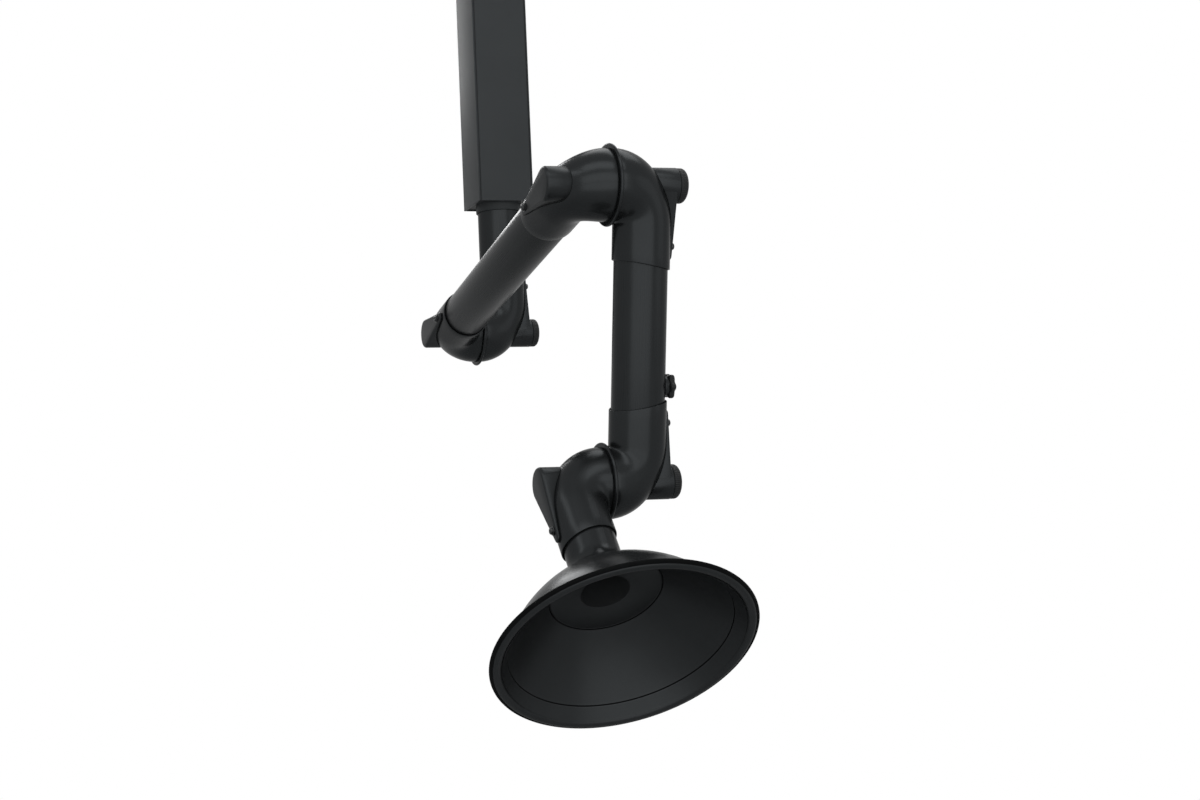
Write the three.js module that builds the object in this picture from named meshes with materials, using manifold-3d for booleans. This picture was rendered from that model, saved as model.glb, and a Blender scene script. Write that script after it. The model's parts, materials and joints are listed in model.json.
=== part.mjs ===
// Ceiling-hung fume extraction arm: a square column with a swivel, two round arms, three
// friction joints that each pair two pipe bends, a damper and a flared hood.
// Millimetres, +Z up. The origin is the centre of the ceiling plate's upper face.
// +X runs along the joint axes and the arm reaches out towards -Y.

import * as THREE from 'three';
import { mergeVertices } from 'three/addons/utils/BufferGeometryUtils.js';
import Module from 'manifold-3d';

const wasm = await Module();
wasm.setup();

// Clearance between pieces that seat on each other, and between pieces that turn in each other
const fit = 0.3;
const bearingFit = 0.5;

// How far a joined or cutting shape runs past the face that it meets
const overrun = 1;

// Ceiling plate with the square socket that the column is screwed to
const plateWidth = 180;
const plateThickness = 8;
const plateCorner = 12;
const plateHoleSpacing = 140;
const plateHoleDiameter = 9;
const socketHeight = 40;
const socketWall = 4;

// Square column with a shadow groove beside each corner of its front and back
const columnWidth = 100;
const columnLength = 500;
const columnWall = 3;
const columnCorner = 1.5;
const grooveWidth = 1.8;
const grooveDepth = 1.3;
const grooveInset = 2.2;

// Round duct tube, used for the riser, the swivelling tube and both arms
const tubeDiameter = 75;
const tubeWall = 2;
const spigotHeight = 60;

// Swivel at the column's lower end
const housingFlange = 9;
const housingRecess = 2;
const housingSkirt = 13;
const housingWall = 2.4;
const cupWall = 2.6;
const cupClearance = 5;
const bushHeight = 4;
const tubeFlangeWidth = 4.5;
const tubeFlangeThickness = 3;
const riserGap = 4;
const sealHeight = 12;
const housingScrewSpacing = 60;

// Arm lengths between joint axes and the pose in which the arm is drawn, in degrees
const shoulderDrop = 230;
const firstArmLength = 677;
const secondArmLength = 416;
const firstArmRise = 10.5;
const secondArmLean = 10;
const hoodTilt = 40.5;

// Pipe bends of a joint: the seam lies in the plane across the joint axis
const jointOffset = 50;
const seamRadius = 51;
const seamWall = 5;
const bendDrop = 56;
const socketDepth = 48;
const stopDepth = 6;
const collarWall = 2.5;
const collarSlope = 0.18;

// Ring between the two bends
const ringWidth = 6;
const ringProud = 7.5;
const ringRound = 2;

// Bracket outside each bend: a barrel round the axis and a tapered strap
const barrelRadius = 25;
const barrelReach = 98;
const barrelEdge = 2.5;
const strapProud = 3.2;
const strapLength = 91;
const strapTipRadius = 7;
const gussetProud = 4.1;
const gussetInset = 1;
const strapScrewDrop = 84;

// Tension hardware on each joint axis
const spindleDiameter = 8;
const spindleHeadRadius = 9;
const spindleHeadHeight = 6;
const bossRadius = 12;
const bossReach = 84;
const springRadius = 12.5;
const springHeight = 3;
const springWasher = 1.6;
const springPocketDepth = 9;
const knobRadius = 24.6;
const knobThickness = 12.5;
const knobRibs = 16;
const knobRibDepth = 0.9;
const knobEdge = 0.8;
const knobDome = 6;

// Button-head screws
const screwDiameter = 4;
const screwHeadRadius = 4;
const screwHeadHeight = 2.6;
const screwCrownRadius = 2.4;
const strapScrewTail = 1;

// Damper in the second arm
const damperHeight = 136;
const damperShaftDiameter = 8;
const damperPlateThickness = 2;
const damperPlateGap = 1;
const damperBaseRadius = 14.5;
const damperBaseHeight = 4.5;
const damperKnobRadius = 16.6;
const damperKnobLobe = 2;
const damperKnobLobes = 6;
const damperKnobThickness = 8.5;
const damperKnobEdge = 1.2;

// Hood, measured along its axis from the wrist axis
const hoodNeckEnd = 137.8;
const hoodRadius = 177;
const hoodNeckEase = 0.4;
const hoodWall = 2;
const hoodFilletRadius = 50;
const hoodFlareStart = 56;
const hoodFlareEnd = 34;
const rimWidth = 14;
const rimSkirt = 1.6;
const lipWidth = 13;
const lipDrop = 4;
const lipThickness = 3.2;
const edgeBeadRadius = 2.8;
const throatWall = 1.6;
const throatEntry = 6;
const throatRise = 3;
const throatPlateRadius = 76;

// Facets round a circle and steps along the curved lengths
const tubeFacets = 20;
const hoodFacets = 26;
const smallFacets = 8;
const beadSides = 6;
const cornerSteps = 3;
const ribPoints = 2;
const lobePoints = 6;
const domeSteps = 2;
const bendSteps = 5;
const passageSteps = 3;
const filletSteps = 3;
const flareSteps = 3;

// Sizes that follow from those above
const radians = THREE.MathUtils.degToRad;
const tubeRadius = tubeDiameter / 2;
const boreRadius = tubeRadius - tubeWall;
const sleeveRadius = tubeRadius + fit;
const bearingRadius = tubeRadius + bearingFit;
const hoodNeckRadius = tubeRadius - hoodNeckEase;
const collarRadius = sleeveRadius + collarWall;
const seamStart = ringWidth / 2 + fit;
const tubeStop = bendDrop + stopDepth;
const collarEnd = tubeStop + socketDepth;
const strapFace = jointOffset + collarRadius + strapProud;
const gussetTip = jointOffset + collarRadius + gussetProud;
const gussetRoot = barrelReach - gussetInset;
const spindleRadius = spindleDiameter / 2;
const screwRadius = screwDiameter / 2;
const columnTop = -plateThickness - fit;
const columnBottom = columnTop - columnLength;
const shoulderZ = columnBottom - shoulderDrop;
const socketScrewZ = columnTop - socketHeight / 2;
const housingScrewZ = columnBottom + housingRecess + housingFlange / 2;
const housingScrewX = housingScrewSpacing / 2;

// Finishes, with colours as seen on the dark satin object
function finish(color, roughness, metalness) {
  return new THREE.MeshStandardMaterial({ color, roughness, metalness });
}
const coated = finish(0x3a3b3f, 0.5, 0.3);
const anodised = finish(0x2c2e31, 0.38, 0.6);
const moulded = finish(0x2d2f32, 0.42, 0);
const ribbed = finish(0x1f2122, 0.6, 0);
const rubber = finish(0x1b1c1d, 0.75, 0);
const bearing = finish(0x8c8d88, 0.55, 0);
const steel = finish(0x8a8d90, 0.35, 1);
const blackSteel = finish(0x26282a, 0.4, 0.8);

// A closed geometry with merged corners and its faces pointing out, as a solid
function solid(geometry) {
  const plain = geometry.clone();
  for (const name of Object.keys(plain.attributes)) {
    if (name !== 'position') plain.deleteAttribute(name);
  }
  const merged = mergeVertices(plain, 1e-4);
  return new wasm.Manifold(new wasm.Mesh({
    numProp: 3,
    vertProperties: new Float32Array(merged.attributes.position.array),
    triVerts: new Uint32Array(merged.index.array),
  }));
}

// A solid as a geometry that a mesh can hold
function geometryOf(body) {
  const { vertProperties, triVerts } = body.getMesh();
  const geometry = new THREE.BufferGeometry();
  geometry.setAttribute('position', new THREE.BufferAttribute(new Float32Array(vertProperties), 3));
  geometry.setIndex(new THREE.BufferAttribute(new Uint32Array(triVerts), 1));
  return geometry;
}

// Signed volume of an indexed triangle list, positive when the faces point out
function signedVolume(points, triangles) {
  let sum = 0;
  for (let i = 0; i < triangles.length; i += 3) {
    const [a, b, c] = [points[triangles[i]], points[triangles[i + 1]], points[triangles[i + 2]]];
    sum += a.dot(b.clone().cross(c));
  }
  return sum / 6;
}

// A solid lofted through rings of equally many points, closed by a fan at both ends
function loft(rings) {
  const count = rings[0].length;
  const points = rings.flat();
  const triangles = [];
  for (let r = 0; r + 1 < rings.length; r += 1) {
    for (let i = 0; i < count; i += 1) {
      const a = r * count + i;
      const b = r * count + ((i + 1) % count);
      triangles.push(a, b, a + count, b, b + count, a + count);
    }
  }
  const last = (rings.length - 1) * count;
  for (let i = 1; i + 1 < count; i += 1) {
    triangles.push(0, i + 1, i, last, last + i, last + i + 1);
  }
  if (signedVolume(points, triangles) < 0) triangles.reverse();
  const geometry = new THREE.BufferGeometry().setFromPoints(points);
  geometry.setIndex(triangles);
  return solid(geometry);
}

// A solid of revolution about Z from a closed loop of [radius, height] pairs
function revolve(loop, facets) {
  const outline = loop.map(([r, z]) => new THREE.Vector2(r, z));
  if (THREE.ShapeUtils.area(outline) < 0) outline.reverse();
  outline.push(outline[0].clone());
  return solid(new THREE.LatheGeometry(outline, facets).rotateX(Math.PI / 2));
}

// A solid of revolution about X, with the pairs giving [radius, x]
function revolveX(loop, facets) {
  return solid(geometryOf(revolve(loop, facets)).rotateY(Math.PI / 2));
}

// A full cylinder along X between two places
function rodX(radius, from, to, facets) {
  const rod = new THREE.CylinderGeometry(radius, radius, to - from, facets);
  return solid(rod.rotateZ(-Math.PI / 2).translate((from + to) / 2, 0, 0));
}

// An outline in the XY plane extruded up from a height
function extrudeZ(shape, from, height, curveSegments = 1) {
  const geometry = new THREE.ExtrudeGeometry(shape, { depth: height, bevelEnabled: false, curveSegments });
  return solid(geometry.translate(0, 0, from));
}

// Values at even steps from one to another
function spread(from, to, steps) {
  return Array.from({ length: steps + 1 }, (_, i) => from + ((to - from) * i) / steps);
}

function moved(body, x, y, z) {
  return solid(geometryOf(body).translate(x, y, z));
}

// Half a turn about X, so that a bend leads up instead of down
function upturned(body) {
  return solid(geometryOf(body).rotateX(Math.PI));
}

// The left-hand copy of a right-hand piece
function leftHanded(body) {
  const geometry = geometryOf(body).scale(-1, 1, 1);
  geometry.setIndex([...geometry.index.array].reverse());
  return solid(geometry);
}

function piece(group, name, body, material) {
  const mesh = new THREE.Mesh(geometryOf(body), material);
  mesh.geometry.computeVertexNormals();
  mesh.name = name;
  group.add(mesh);
}

function roundedSquare(width, corner) {
  const half = width / 2;
  const inner = half - corner;
  const shape = new THREE.Shape();
  shape.absarc(inner, inner, corner, 0, Math.PI / 2);
  shape.absarc(-inner, inner, corner, Math.PI / 2, Math.PI);
  shape.absarc(-inner, -inner, corner, Math.PI, Math.PI * 1.5);
  shape.absarc(inner, -inner, corner, Math.PI * 1.5, Math.PI * 2);
  return shape;
}

function circleHole(x, y, radius) {
  return new THREE.Path().absarc(x, y, radius, 0, Math.PI * 2, true);
}

function tube(inner, outer, low, high, facets) {
  return revolve([[inner, low], [outer, low], [outer, high], [inner, high]], facets);
}

// Button-head screw along X: the head stands past x = 0, the shank points to -X
function screw(shankLength) {
  return revolveX([
    [0, -shankLength],
    [screwRadius, -shankLength],
    [screwRadius, fit],
    [screwHeadRadius, fit],
    [screwCrownRadius, fit + screwHeadHeight],
    [0, fit + screwHeadHeight],
  ], smallFacets);
}

// One ring of a bend, in the plane that has turned by an angle about the bend's pivot
function bendRing(angle, radius, reach) {
  const out = new THREE.Vector3(Math.sin(angle), 0, Math.cos(angle));
  const centre = new THREE.Vector3(seamStart, 0, -bendDrop).addScaledVector(out, reach);
  const side = new THREE.Vector3(0, 1, 0);
  return Array.from({ length: tubeFacets }, (_, i) => {
    const turn = (i / tubeFacets) * Math.PI * 2;
    return centre.clone()
      .addScaledVector(out, radius * Math.cos(turn))
      .addScaledVector(side, radius * Math.sin(turn));
  });
}

// Rings of a right-hand bend from the seam down to the start of its straight collar
function bendRings(startRadius, endRadius, steps) {
  const endReach = jointOffset - seamStart;
  return Array.from({ length: steps + 1 }, (_, i) => {
    const angle = (i / steps) * (Math.PI / 2);
    const share = Math.cos(angle);
    const radius = endRadius + (startRadius - endRadius) * share ** 3;
    const reach = endReach + (bendDrop - endReach) * share ** 2;
    return bendRing(angle, radius, reach);
  });
}

// A level ring round the tube's axis below the bend, its height following a slope
function collarRing(radius, drop, slope) {
  return bendRing(Math.PI / 2, radius, jointOffset - seamStart).map((p) => {
    p.z = -drop - slope * (p.x - jointOffset);
    return p;
  });
}

// Outside of a bend with its collar and the boss that the spindle pulls on
function bendOutside(grow) {
  const rings = bendRings(seamRadius + grow, collarRadius + grow, bendSteps);
  rings.push(collarRing(collarRadius + grow, collarEnd + grow, collarSlope));
  const boss = rodX(bossRadius + grow, seamStart + bendDrop, bossReach + grow, smallFacets);
  return loft(rings).add(boss);
}

// Air passage of a bend: seam, bend, the stop for the tube and the socket below it
function bendInside() {
  const entry = bendRings(seamRadius - seamWall, boreRadius, passageSteps);
  const mouth = entry[0].map((p) => p.clone().setX(p.x - fit * 2));
  const past = collarEnd + collarRadius;
  const passage = loft([mouth, ...entry.slice(1), collarRing(boreRadius, past, 0)]);
  const socket = loft([collarRing(sleeveRadius, tubeStop, 0), collarRing(sleeveRadius, past, 0)]);
  return passage.add(socket);
}

function strapScrewHole() {
  const inside = jointOffset + boreRadius - strapScrewTail - fit * 2;
  const hole = rodX(screwRadius + fit, inside, barrelReach, smallFacets);
  return moved(hole, 0, 0, -strapScrewDrop);
}

function spindleHole() {
  return rodX(spindleRadius + bearingFit, 0, barrelReach + fit, smallFacets);
}

function rightBend() {
  return bendOutside(0).subtract(bendInside()).subtract(spindleHole()).subtract(strapScrewHole());
}

// Outer face of a strap at a height: level on the right, sloping to the tip on the left
function levelFace() {
  return strapFace;
}

function slopingFace(z) {
  return gussetRoot + (gussetTip - gussetRoot) * (-z / strapLength);
}

// Barrel and strap as one casting whose inner face follows the bend
function bracketBlank(faceAt) {
  const lean = -Math.asin((barrelRadius - strapTipRadius) / strapLength);
  const across = barrelRadius * Math.cos(lean);
  const down = barrelRadius * Math.sin(lean);
  const outline = new THREE.Shape();
  outline.moveTo(across, down);
  outline.lineTo(-across, down);
  outline.absarc(0, -strapLength, strapTipRadius, Math.PI - lean, Math.PI * 2 + lean);
  const points = outline.getPoints(cornerSteps).slice(1);
  const ringAt = (xAt) => points.map((p) => new THREE.Vector3(xAt(p.y), p.x, p.y));
  const strap = loft([ringAt(() => bendDrop), ringAt(faceAt)]);
  const barrel = revolveX([
    [0, bendDrop],
    [barrelRadius, bendDrop],
    [barrelRadius, barrelReach - barrelEdge],
    [barrelRadius - barrelEdge, barrelReach],
    [0, barrelReach],
  ], tubeFacets);
  return strap.add(barrel).subtract(bendOutside(fit)).subtract(strapScrewHole());
}

// Right-hand bracket: open for the spindle, with a pocket for spring and knob
function rightBracket() {
  const floor = barrelReach - springPocketDepth;
  const pocket = rodX(springRadius + bearingFit * 2, floor, barrelReach + overrun, smallFacets);
  return bracketBlank(levelFace).subtract(spindleHole()).subtract(pocket);
}

// Left-hand bracket, drawn right-handed: a closed barrel that hides the spindle's head
function closedBracket() {
  const end = bossReach + fit * 2 + spindleHeadHeight;
  const pocket = rodX(spindleHeadRadius + fit, bossReach, end, smallFacets);
  return bracketBlank(slopingFace).subtract(pocket);
}

function seamRing() {
  const half = ringWidth / 2;
  const top = seamRadius + ringProud;
  const inner = seamRadius - seamWall;
  return revolveX([
    [inner, -half],
    [top - ringRound, -half],
    [top, ringRound - half],
    [top, half - ringRound],
    [top - ringRound, half],
    [inner, half],
  ], tubeFacets);
}

const spindleEnd = barrelReach + knobThickness / 2;

function spindle() {
  const headFace = -(bossReach + fit);
  return revolveX([
    [0, headFace - spindleHeadHeight],
    [spindleHeadRadius, headFace - spindleHeadHeight],
    [spindleHeadRadius, headFace],
    [spindleRadius, headFace],
    [spindleRadius, spindleEnd],
    [0, spindleEnd],
  ], smallFacets);
}

// Cupped spring disc at the bottom of the right-hand pocket
function discSpring() {
  const floor = barrelReach - springPocketDepth + fit;
  const hole = spindleRadius + bearingFit;
  return revolveX([
    [hole, floor + springHeight - springWasher],
    [springRadius, floor],
    [springRadius, floor + springWasher],
    [hole, floor + springHeight],
  ], smallFacets);
}

// A ring of points round X whose radius waves in and out
function waveRing(x, radius, depth, waves, pointsPerWave) {
  const count = waves * pointsPerWave;
  return Array.from({ length: count }, (_, i) => {
    const turn = (i / count) * Math.PI * 2;
    const r = radius - depth * (0.5 - 0.5 * Math.cos(turn * waves));
    return new THREE.Vector3(x, r * Math.cos(turn), r * Math.sin(turn));
  });
}

// Ribbed cap with a domed outer edge and a foot that presses on the spring
function tensionKnob() {
  const face = barrelReach + fit;
  const end = face + knobThickness;
  const floor = barrelReach - springPocketDepth + fit * 2 + springHeight;
  const dome = spread(0, Math.PI / 2, domeSteps).map((angle) => [
    end - knobDome * (1 - Math.sin(angle)),
    knobDome * (1 - Math.cos(angle)),
  ]);
  const stations = [[face, knobEdge], [face + knobEdge, 0], ...dome];
  const ringAt = ([x, inset]) => waveRing(x, knobRadius - inset, knobRibDepth, knobRibs, ribPoints);
  const cap = loft(stations.map(ringAt));
  const foot = rodX(springRadius - bearingFit, floor, face + knobEdge, smallFacets);
  const threadEnd = spindleEnd + fit;
  const thread = rodX(spindleRadius + bearingFit, floor - overrun, threadEnd, smallFacets);
  return cap.add(foot).subtract(thread);
}

function strapScrew(faceAt) {
  const face = faceAt(-strapScrewDrop);
  const shank = face - (jointOffset + boreRadius - strapScrewTail);
  return moved(screw(shank), face, 0, -strapScrewDrop);
}

// The solids of a joint are alike at all three joints
const rightBendBody = rightBend();
const leftBendBody = leftHanded(rightBendBody);
const rightBracketBody = rightBracket();
const leftBracketBody = leftHanded(closedBracket());
const rightScrewBody = strapScrew(levelFace);
const leftScrewBody = leftHanded(strapScrew(slopingFace));

// Half of a joint on the left, which carries the spindle
function leftHalf(group, joint, turn) {
  piece(group, `${joint}_left_bend`, turn(leftBendBody), moulded);
  piece(group, `${joint}_left_bracket`, turn(leftBracketBody), moulded);
  piece(group, `${joint}_left_screw`, turn(leftScrewBody), blackSteel);
  piece(group, `${joint}_spindle`, spindle(), steel);
}

// Half of a joint on the right, with the ring, the spring and the tension knob
function rightHalf(group, joint, turn) {
  piece(group, `${joint}_right_bend`, turn(rightBendBody), moulded);
  piece(group, `${joint}_right_bracket`, turn(rightBracketBody), moulded);
  piece(group, `${joint}_right_screw`, turn(rightScrewBody), blackSteel);
  piece(group, `${joint}_seam_ring`, seamRing(), rubber);
  piece(group, `${joint}_disc_spring`, discSpring(), steel);
  piece(group, `${joint}_tension_knob`, tensionKnob(), ribbed);
}

const asDrawn = (body) => body;

// Screw holes where a strap screw of a joint bites into the tube, seen from the tube's axis
function tubeScrewHole(side, drop) {
  const hole = rodX(screwRadius + fit, 0, tubeRadius * 2, smallFacets);
  return moved(side > 0 ? hole : leftHanded(hole), 0, 0, drop);
}

function ceilingPlate() {
  const outline = roundedSquare(plateWidth, plateCorner);
  const half = plateHoleSpacing / 2;
  for (const [x, y] of [[half, half], [-half, half], [-half, -half], [half, -half]]) {
    outline.holes.push(circleHole(x, y, plateHoleDiameter / 2));
  }
  const opening = tube(0, sleeveRadius, -plateThickness * 2, plateThickness, tubeFacets);
  const socketWidth = columnWidth - columnWall * 2 - fit * 2;
  const socket = roundedSquare(socketWidth, columnCorner);
  socket.holes.push(roundedSquare(socketWidth - socketWall * 2, columnCorner));
  const walls = extrudeZ(socket, -plateThickness - socketHeight, socketHeight + plateThickness / 2);
  return extrudeZ(outline, -plateThickness, plateThickness, cornerSteps).add(walls).subtract(opening)
    .subtract(sideHole(1, socketScrewZ)).subtract(sideHole(-1, socketScrewZ));
}

// Hole for a screw through the column's left or right wall
function sideHole(side, z) {
  const hole = rodX(screwRadius + fit, columnWidth / 4, columnWidth, smallFacets);
  return moved(side > 0 ? hole : leftHanded(hole), 0, 0, z);
}

// Hole through the column's back wall and on into the housing, as deep as its screw
const housingScrewShank = columnWall + fit + housingFlange;

function backHole(x, z) {
  const end = columnWidth / 2 - housingScrewShank - fit;
  const hole = rodX(screwRadius + fit, end, columnWidth, smallFacets);
  return moved(solid(geometryOf(hole).rotateZ(Math.PI / 2)), x, 0, z);
}

function columnProfile() {
  const outline = roundedSquare(columnWidth, columnCorner);
  outline.holes.push(roundedSquare(columnWidth - columnWall * 2, columnCorner));
  let body = extrudeZ(outline, columnBottom, columnLength);
  const groove = new THREE.BoxGeometry(grooveWidth, grooveDepth * 2, columnLength + overrun * 2);
  const across = columnWidth / 2 - grooveInset - grooveWidth / 2;
  for (const x of [-across, across]) {
    for (const y of [-columnWidth / 2, columnWidth / 2]) {
      body = body.subtract(solid(groove.clone().translate(x, y, columnBottom + columnLength / 2)));
    }
  }
  for (const side of [1, -1]) {
    body = body.subtract(sideHole(side, socketScrewZ));
    body = body.subtract(backHole(side * housingScrewX, housingScrewZ));
  }
  return body;
}

const columnScrewShank = columnWall + fit + socketWall;
const shoulderBearing = columnBottom + housingRecess + housingFlange;
const cupRadius = tubeRadius + tubeFlangeWidth + bearingFit * 2;
const flangeBase = shoulderBearing + bushHeight + fit * 2;
const upperTubeTop = flangeBase + tubeFlangeThickness;
const riserBottom = upperTubeTop + riserGap;
const cupTop = riserBottom + cupClearance + sealHeight;

// Square flange in the column, a skirt below it and a cup above it for the bearing
function swivelHousing() {
  const flange = roundedSquare(columnWidth - columnWall * 2 - fit * 2, columnCorner);
  const low = columnBottom + housingRecess;
  const foot = columnBottom - housingSkirt;
  const skirt = tube(bearingRadius, bearingRadius + housingWall, foot, low + overrun, tubeFacets);
  const cup = tube(cupRadius, cupRadius + cupWall, shoulderBearing - overrun, cupTop, tubeFacets);
  const bore = tube(0, bearingRadius, low - overrun, shoulderBearing + overrun, tubeFacets);
  return extrudeZ(flange, low, housingFlange).subtract(bore).add(skirt).add(cup)
    .subtract(backHole(housingScrewX, housingScrewZ))
    .subtract(backHole(-housingScrewX, housingScrewZ));
}

function upperTube() {
  const foot = shoulderZ + tubeStop + fit;
  const body = revolve([
    [boreRadius, foot],
    [tubeRadius, foot],
    [tubeRadius, flangeBase],
    [tubeRadius + tubeFlangeWidth, flangeBase],
    [tubeRadius + tubeFlangeWidth, upperTubeTop],
    [boreRadius, upperTubeTop],
  ], tubeFacets);
  return body.subtract(tubeScrewHole(1, shoulderZ + strapScrewDrop));
}

// Arm tube hanging down from a joint's axis, seen from its own axis
function armTube(length, side) {
  const body = tube(boreRadius, tubeRadius, tubeStop + fit - length, -tubeStop - fit, tubeFacets);
  return body.subtract(tubeScrewHole(side, -strapScrewDrop))
    .subtract(tubeScrewHole(side, strapScrewDrop - length));
}

const damperZ = damperHeight - secondArmLength;

function secondArmTube() {
  const radius = damperShaftDiameter / 2 + bearingFit;
  const hole = rodX(radius, -tubeDiameter, tubeDiameter, smallFacets);
  return armTube(secondArmLength, 1).subtract(moved(hole, 0, 0, damperZ));
}

const damperSeat = tubeRadius + damperBaseHeight;
const damperShaftEnd = damperSeat + damperKnobThickness / 2;

// Shaft across the tube with a flat that the damper's plate lies on
function damperShaft() {
  const radius = damperShaftDiameter / 2;
  const flat = new THREE.BoxGeometry(boreRadius * 2 - fit * 4, radius, damperShaftDiameter * 2);
  const shaft = rodX(radius, -tubeRadius, damperShaftEnd, smallFacets);
  return shaft.subtract(solid(flat.translate(0, radius / 2, 0)));
}

function damperPlate() {
  const disc = new THREE.CylinderGeometry(
    boreRadius - damperPlateGap, boreRadius - damperPlateGap, damperPlateThickness, tubeFacets,
  );
  return solid(disc.translate(0, fit + damperPlateThickness / 2, 0));
}

// Round base whose foot is cut to sit on the tube
function damperBase() {
  const base = rodX(damperBaseRadius, tubeRadius - damperBaseHeight, damperSeat, tubeFacets);
  const round = tube(0, sleeveRadius, -tubeRadius, tubeRadius, tubeFacets * 2);
  const hole = rodX(damperShaftDiameter / 2 + bearingFit, 0, damperSeat + overrun, smallFacets);
  return base.subtract(round).subtract(hole);
}

function damperKnob() {
  const face = damperSeat + fit;
  const end = face + damperKnobThickness;
  const tip = damperKnobRadius + damperKnobLobe;
  const edge = damperKnobEdge;
  const stations = [[face, edge], [face + edge, 0], [end - edge, 0], [end, edge]];
  const depth = damperKnobLobe * 2;
  const ringAt = ([x, inset]) => waveRing(x, tip - inset, depth, damperKnobLobes, lobePoints);
  const knob = loft(stations.map(ringAt));
  const socketRadius = damperShaftDiameter / 2 + fit;
  const socket = rodX(socketRadius, face - overrun, damperShaftEnd + fit, smallFacets);
  return knob.subtract(socket);
}

// The hood's wall is a neck, a concave fillet and a slightly convex flare.
// Every line below follows that wall at a depth measured inwards from the outside.
const flareStart = radians(hoodFlareStart);
const flareEnd = radians(hoodFlareEnd);
const mouthRadius = hoodRadius - lipWidth;
const filletOut = hoodNeckRadius + hoodFilletRadius * (1 - Math.cos(flareStart));
const flareRadius = (mouthRadius - filletOut) / (Math.cos(flareEnd) - Math.cos(flareStart));
const flareDrop = flareRadius * (Math.sin(flareStart) - Math.sin(flareEnd));
const mouthDrop = hoodNeckEnd + hoodFilletRadius * Math.sin(flareStart) + flareDrop;
const hoodReach = mouthDrop + lipDrop;
const flareCentre = [
  mouthRadius - flareRadius * Math.cos(flareEnd),
  mouthDrop + flareRadius * Math.sin(flareEnd),
];

function filletPoint(angle, depth) {
  const reach = hoodFilletRadius + depth;
  const r = hoodNeckRadius + hoodFilletRadius - reach * Math.cos(angle);
  return [r, -(hoodNeckEnd + reach * Math.sin(angle))];
}

function flarePoint(angle, depth) {
  const reach = flareRadius - depth;
  return [flareCentre[0] + reach * Math.cos(angle), -(flareCentre[1] - reach * Math.sin(angle))];
}

// Angle of the flare at which the inside of the wall has a given radius
function flareAngleAt(radius) {
  return Math.acos((radius - flareCentre[0]) / (flareRadius - hoodWall));
}

// Shared breaks along the wall, so that the liner and the rim follow its facets
const throatAngle = flareAngleAt(throatPlateRadius);
const rimAngle = flareAngleAt(mouthRadius - rimWidth);
const filletAngles = spread(0, flareStart, filletSteps);
const flareAngles = [...spread(throatAngle, rimAngle, flareSteps), flareEnd];

function filletLine(depth) {
  return filletAngles.map((angle) => filletPoint(angle, depth));
}

function flareLine(angles, depth) {
  return angles.map((angle) => flarePoint(angle, depth));
}

// Neck pipe that ends in the fillet
function hoodNeckPipe() {
  const top = -(tubeStop + fit);
  const lineOf = (depth) => [[hoodNeckRadius - depth, top], ...filletLine(depth)];
  const shell = revolve([...lineOf(0), ...lineOf(hoodWall).reverse()], hoodFacets);
  return shell.subtract(tubeScrewHole(-1, -strapScrewDrop));
}

// Flared bell that butts on the end of the fillet
function hoodBell() {
  const angles = [flareStart - fit / flareRadius, ...flareAngles];
  return revolve([...flareLine(angles, 0), ...flareLine(angles, hoodWall).reverse()], hoodFacets);
}

// Throat: a plate across the hood, with a hole whose short tube enters the neck
function hoodThroat() {
  const depth = hoodWall + fit;
  const radius = hoodNeckRadius - depth;
  const top = -(hoodNeckEnd - throatEntry);
  const brinkAngle = throatAngle + throatWall / (flareRadius * Math.cos(throatAngle));
  const brink = flarePoint(brinkAngle, depth);
  const edge = flarePoint(throatAngle, depth);
  return revolve([
    [radius, top],
    [radius, brink[1] + throatRise],
    brink,
    edge,
    [radius - throatWall, edge[1] + throatRise],
    [radius - throatWall, top],
  ], hoodFacets);
}

// Rim: a skirt along the hood's inside edge and a lip that turns out under the mouth
const lipEdgeRadius = hoodRadius - edgeBeadRadius * 2 - fit;

function hoodRim() {
  const outer = hoodWall + fit;
  const skirt = (depth) => flareLine([rimAngle, flareEnd], depth);
  const seat = flarePoint(flareEnd, outer)[1];
  const bend = mouthRadius + lipThickness / 2;
  const face = -hoodReach;
  return revolve([
    ...skirt(outer),
    [bend, seat],
    [lipEdgeRadius, face + lipThickness],
    [lipEdgeRadius, face + lipThickness / 4],
    [lipEdgeRadius - lipThickness / 2, face],
    [bend, face],
    ...skirt(outer + rimSkirt).reverse(),
  ], hoodFacets);
}

// Rubber beading round the lip's edge
function hoodEdge() {
  const centre = [hoodRadius - edgeBeadRadius, -hoodReach + lipThickness / 2];
  const reach = edgeBeadRadius / Math.cos(Math.PI / beadSides);
  const loop = Array.from({ length: beadSides }, (_, i) => {
    const turn = ((i + 0.5) / beadSides) * Math.PI * 2;
    return [centre[0] + reach * Math.cos(turn), centre[1] + reach * Math.sin(turn)];
  });
  return revolve(loop, hoodFacets);
}

// A group that hangs from a joint: turned about X, with its own tube axis beside the seam
function link(parent, x, z, tilt) {
  const group = new THREE.Group();
  group.position.set(x, 0, z);
  group.rotation.x = radians(tilt);
  parent.add(group);
  return group;
}

function besideSeam(group, side) {
  const axis = new THREE.Group();
  axis.position.set(side * jointOffset, 0, 0);
  group.add(axis);
  return axis;
}

const arm = new THREE.Group();

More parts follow.
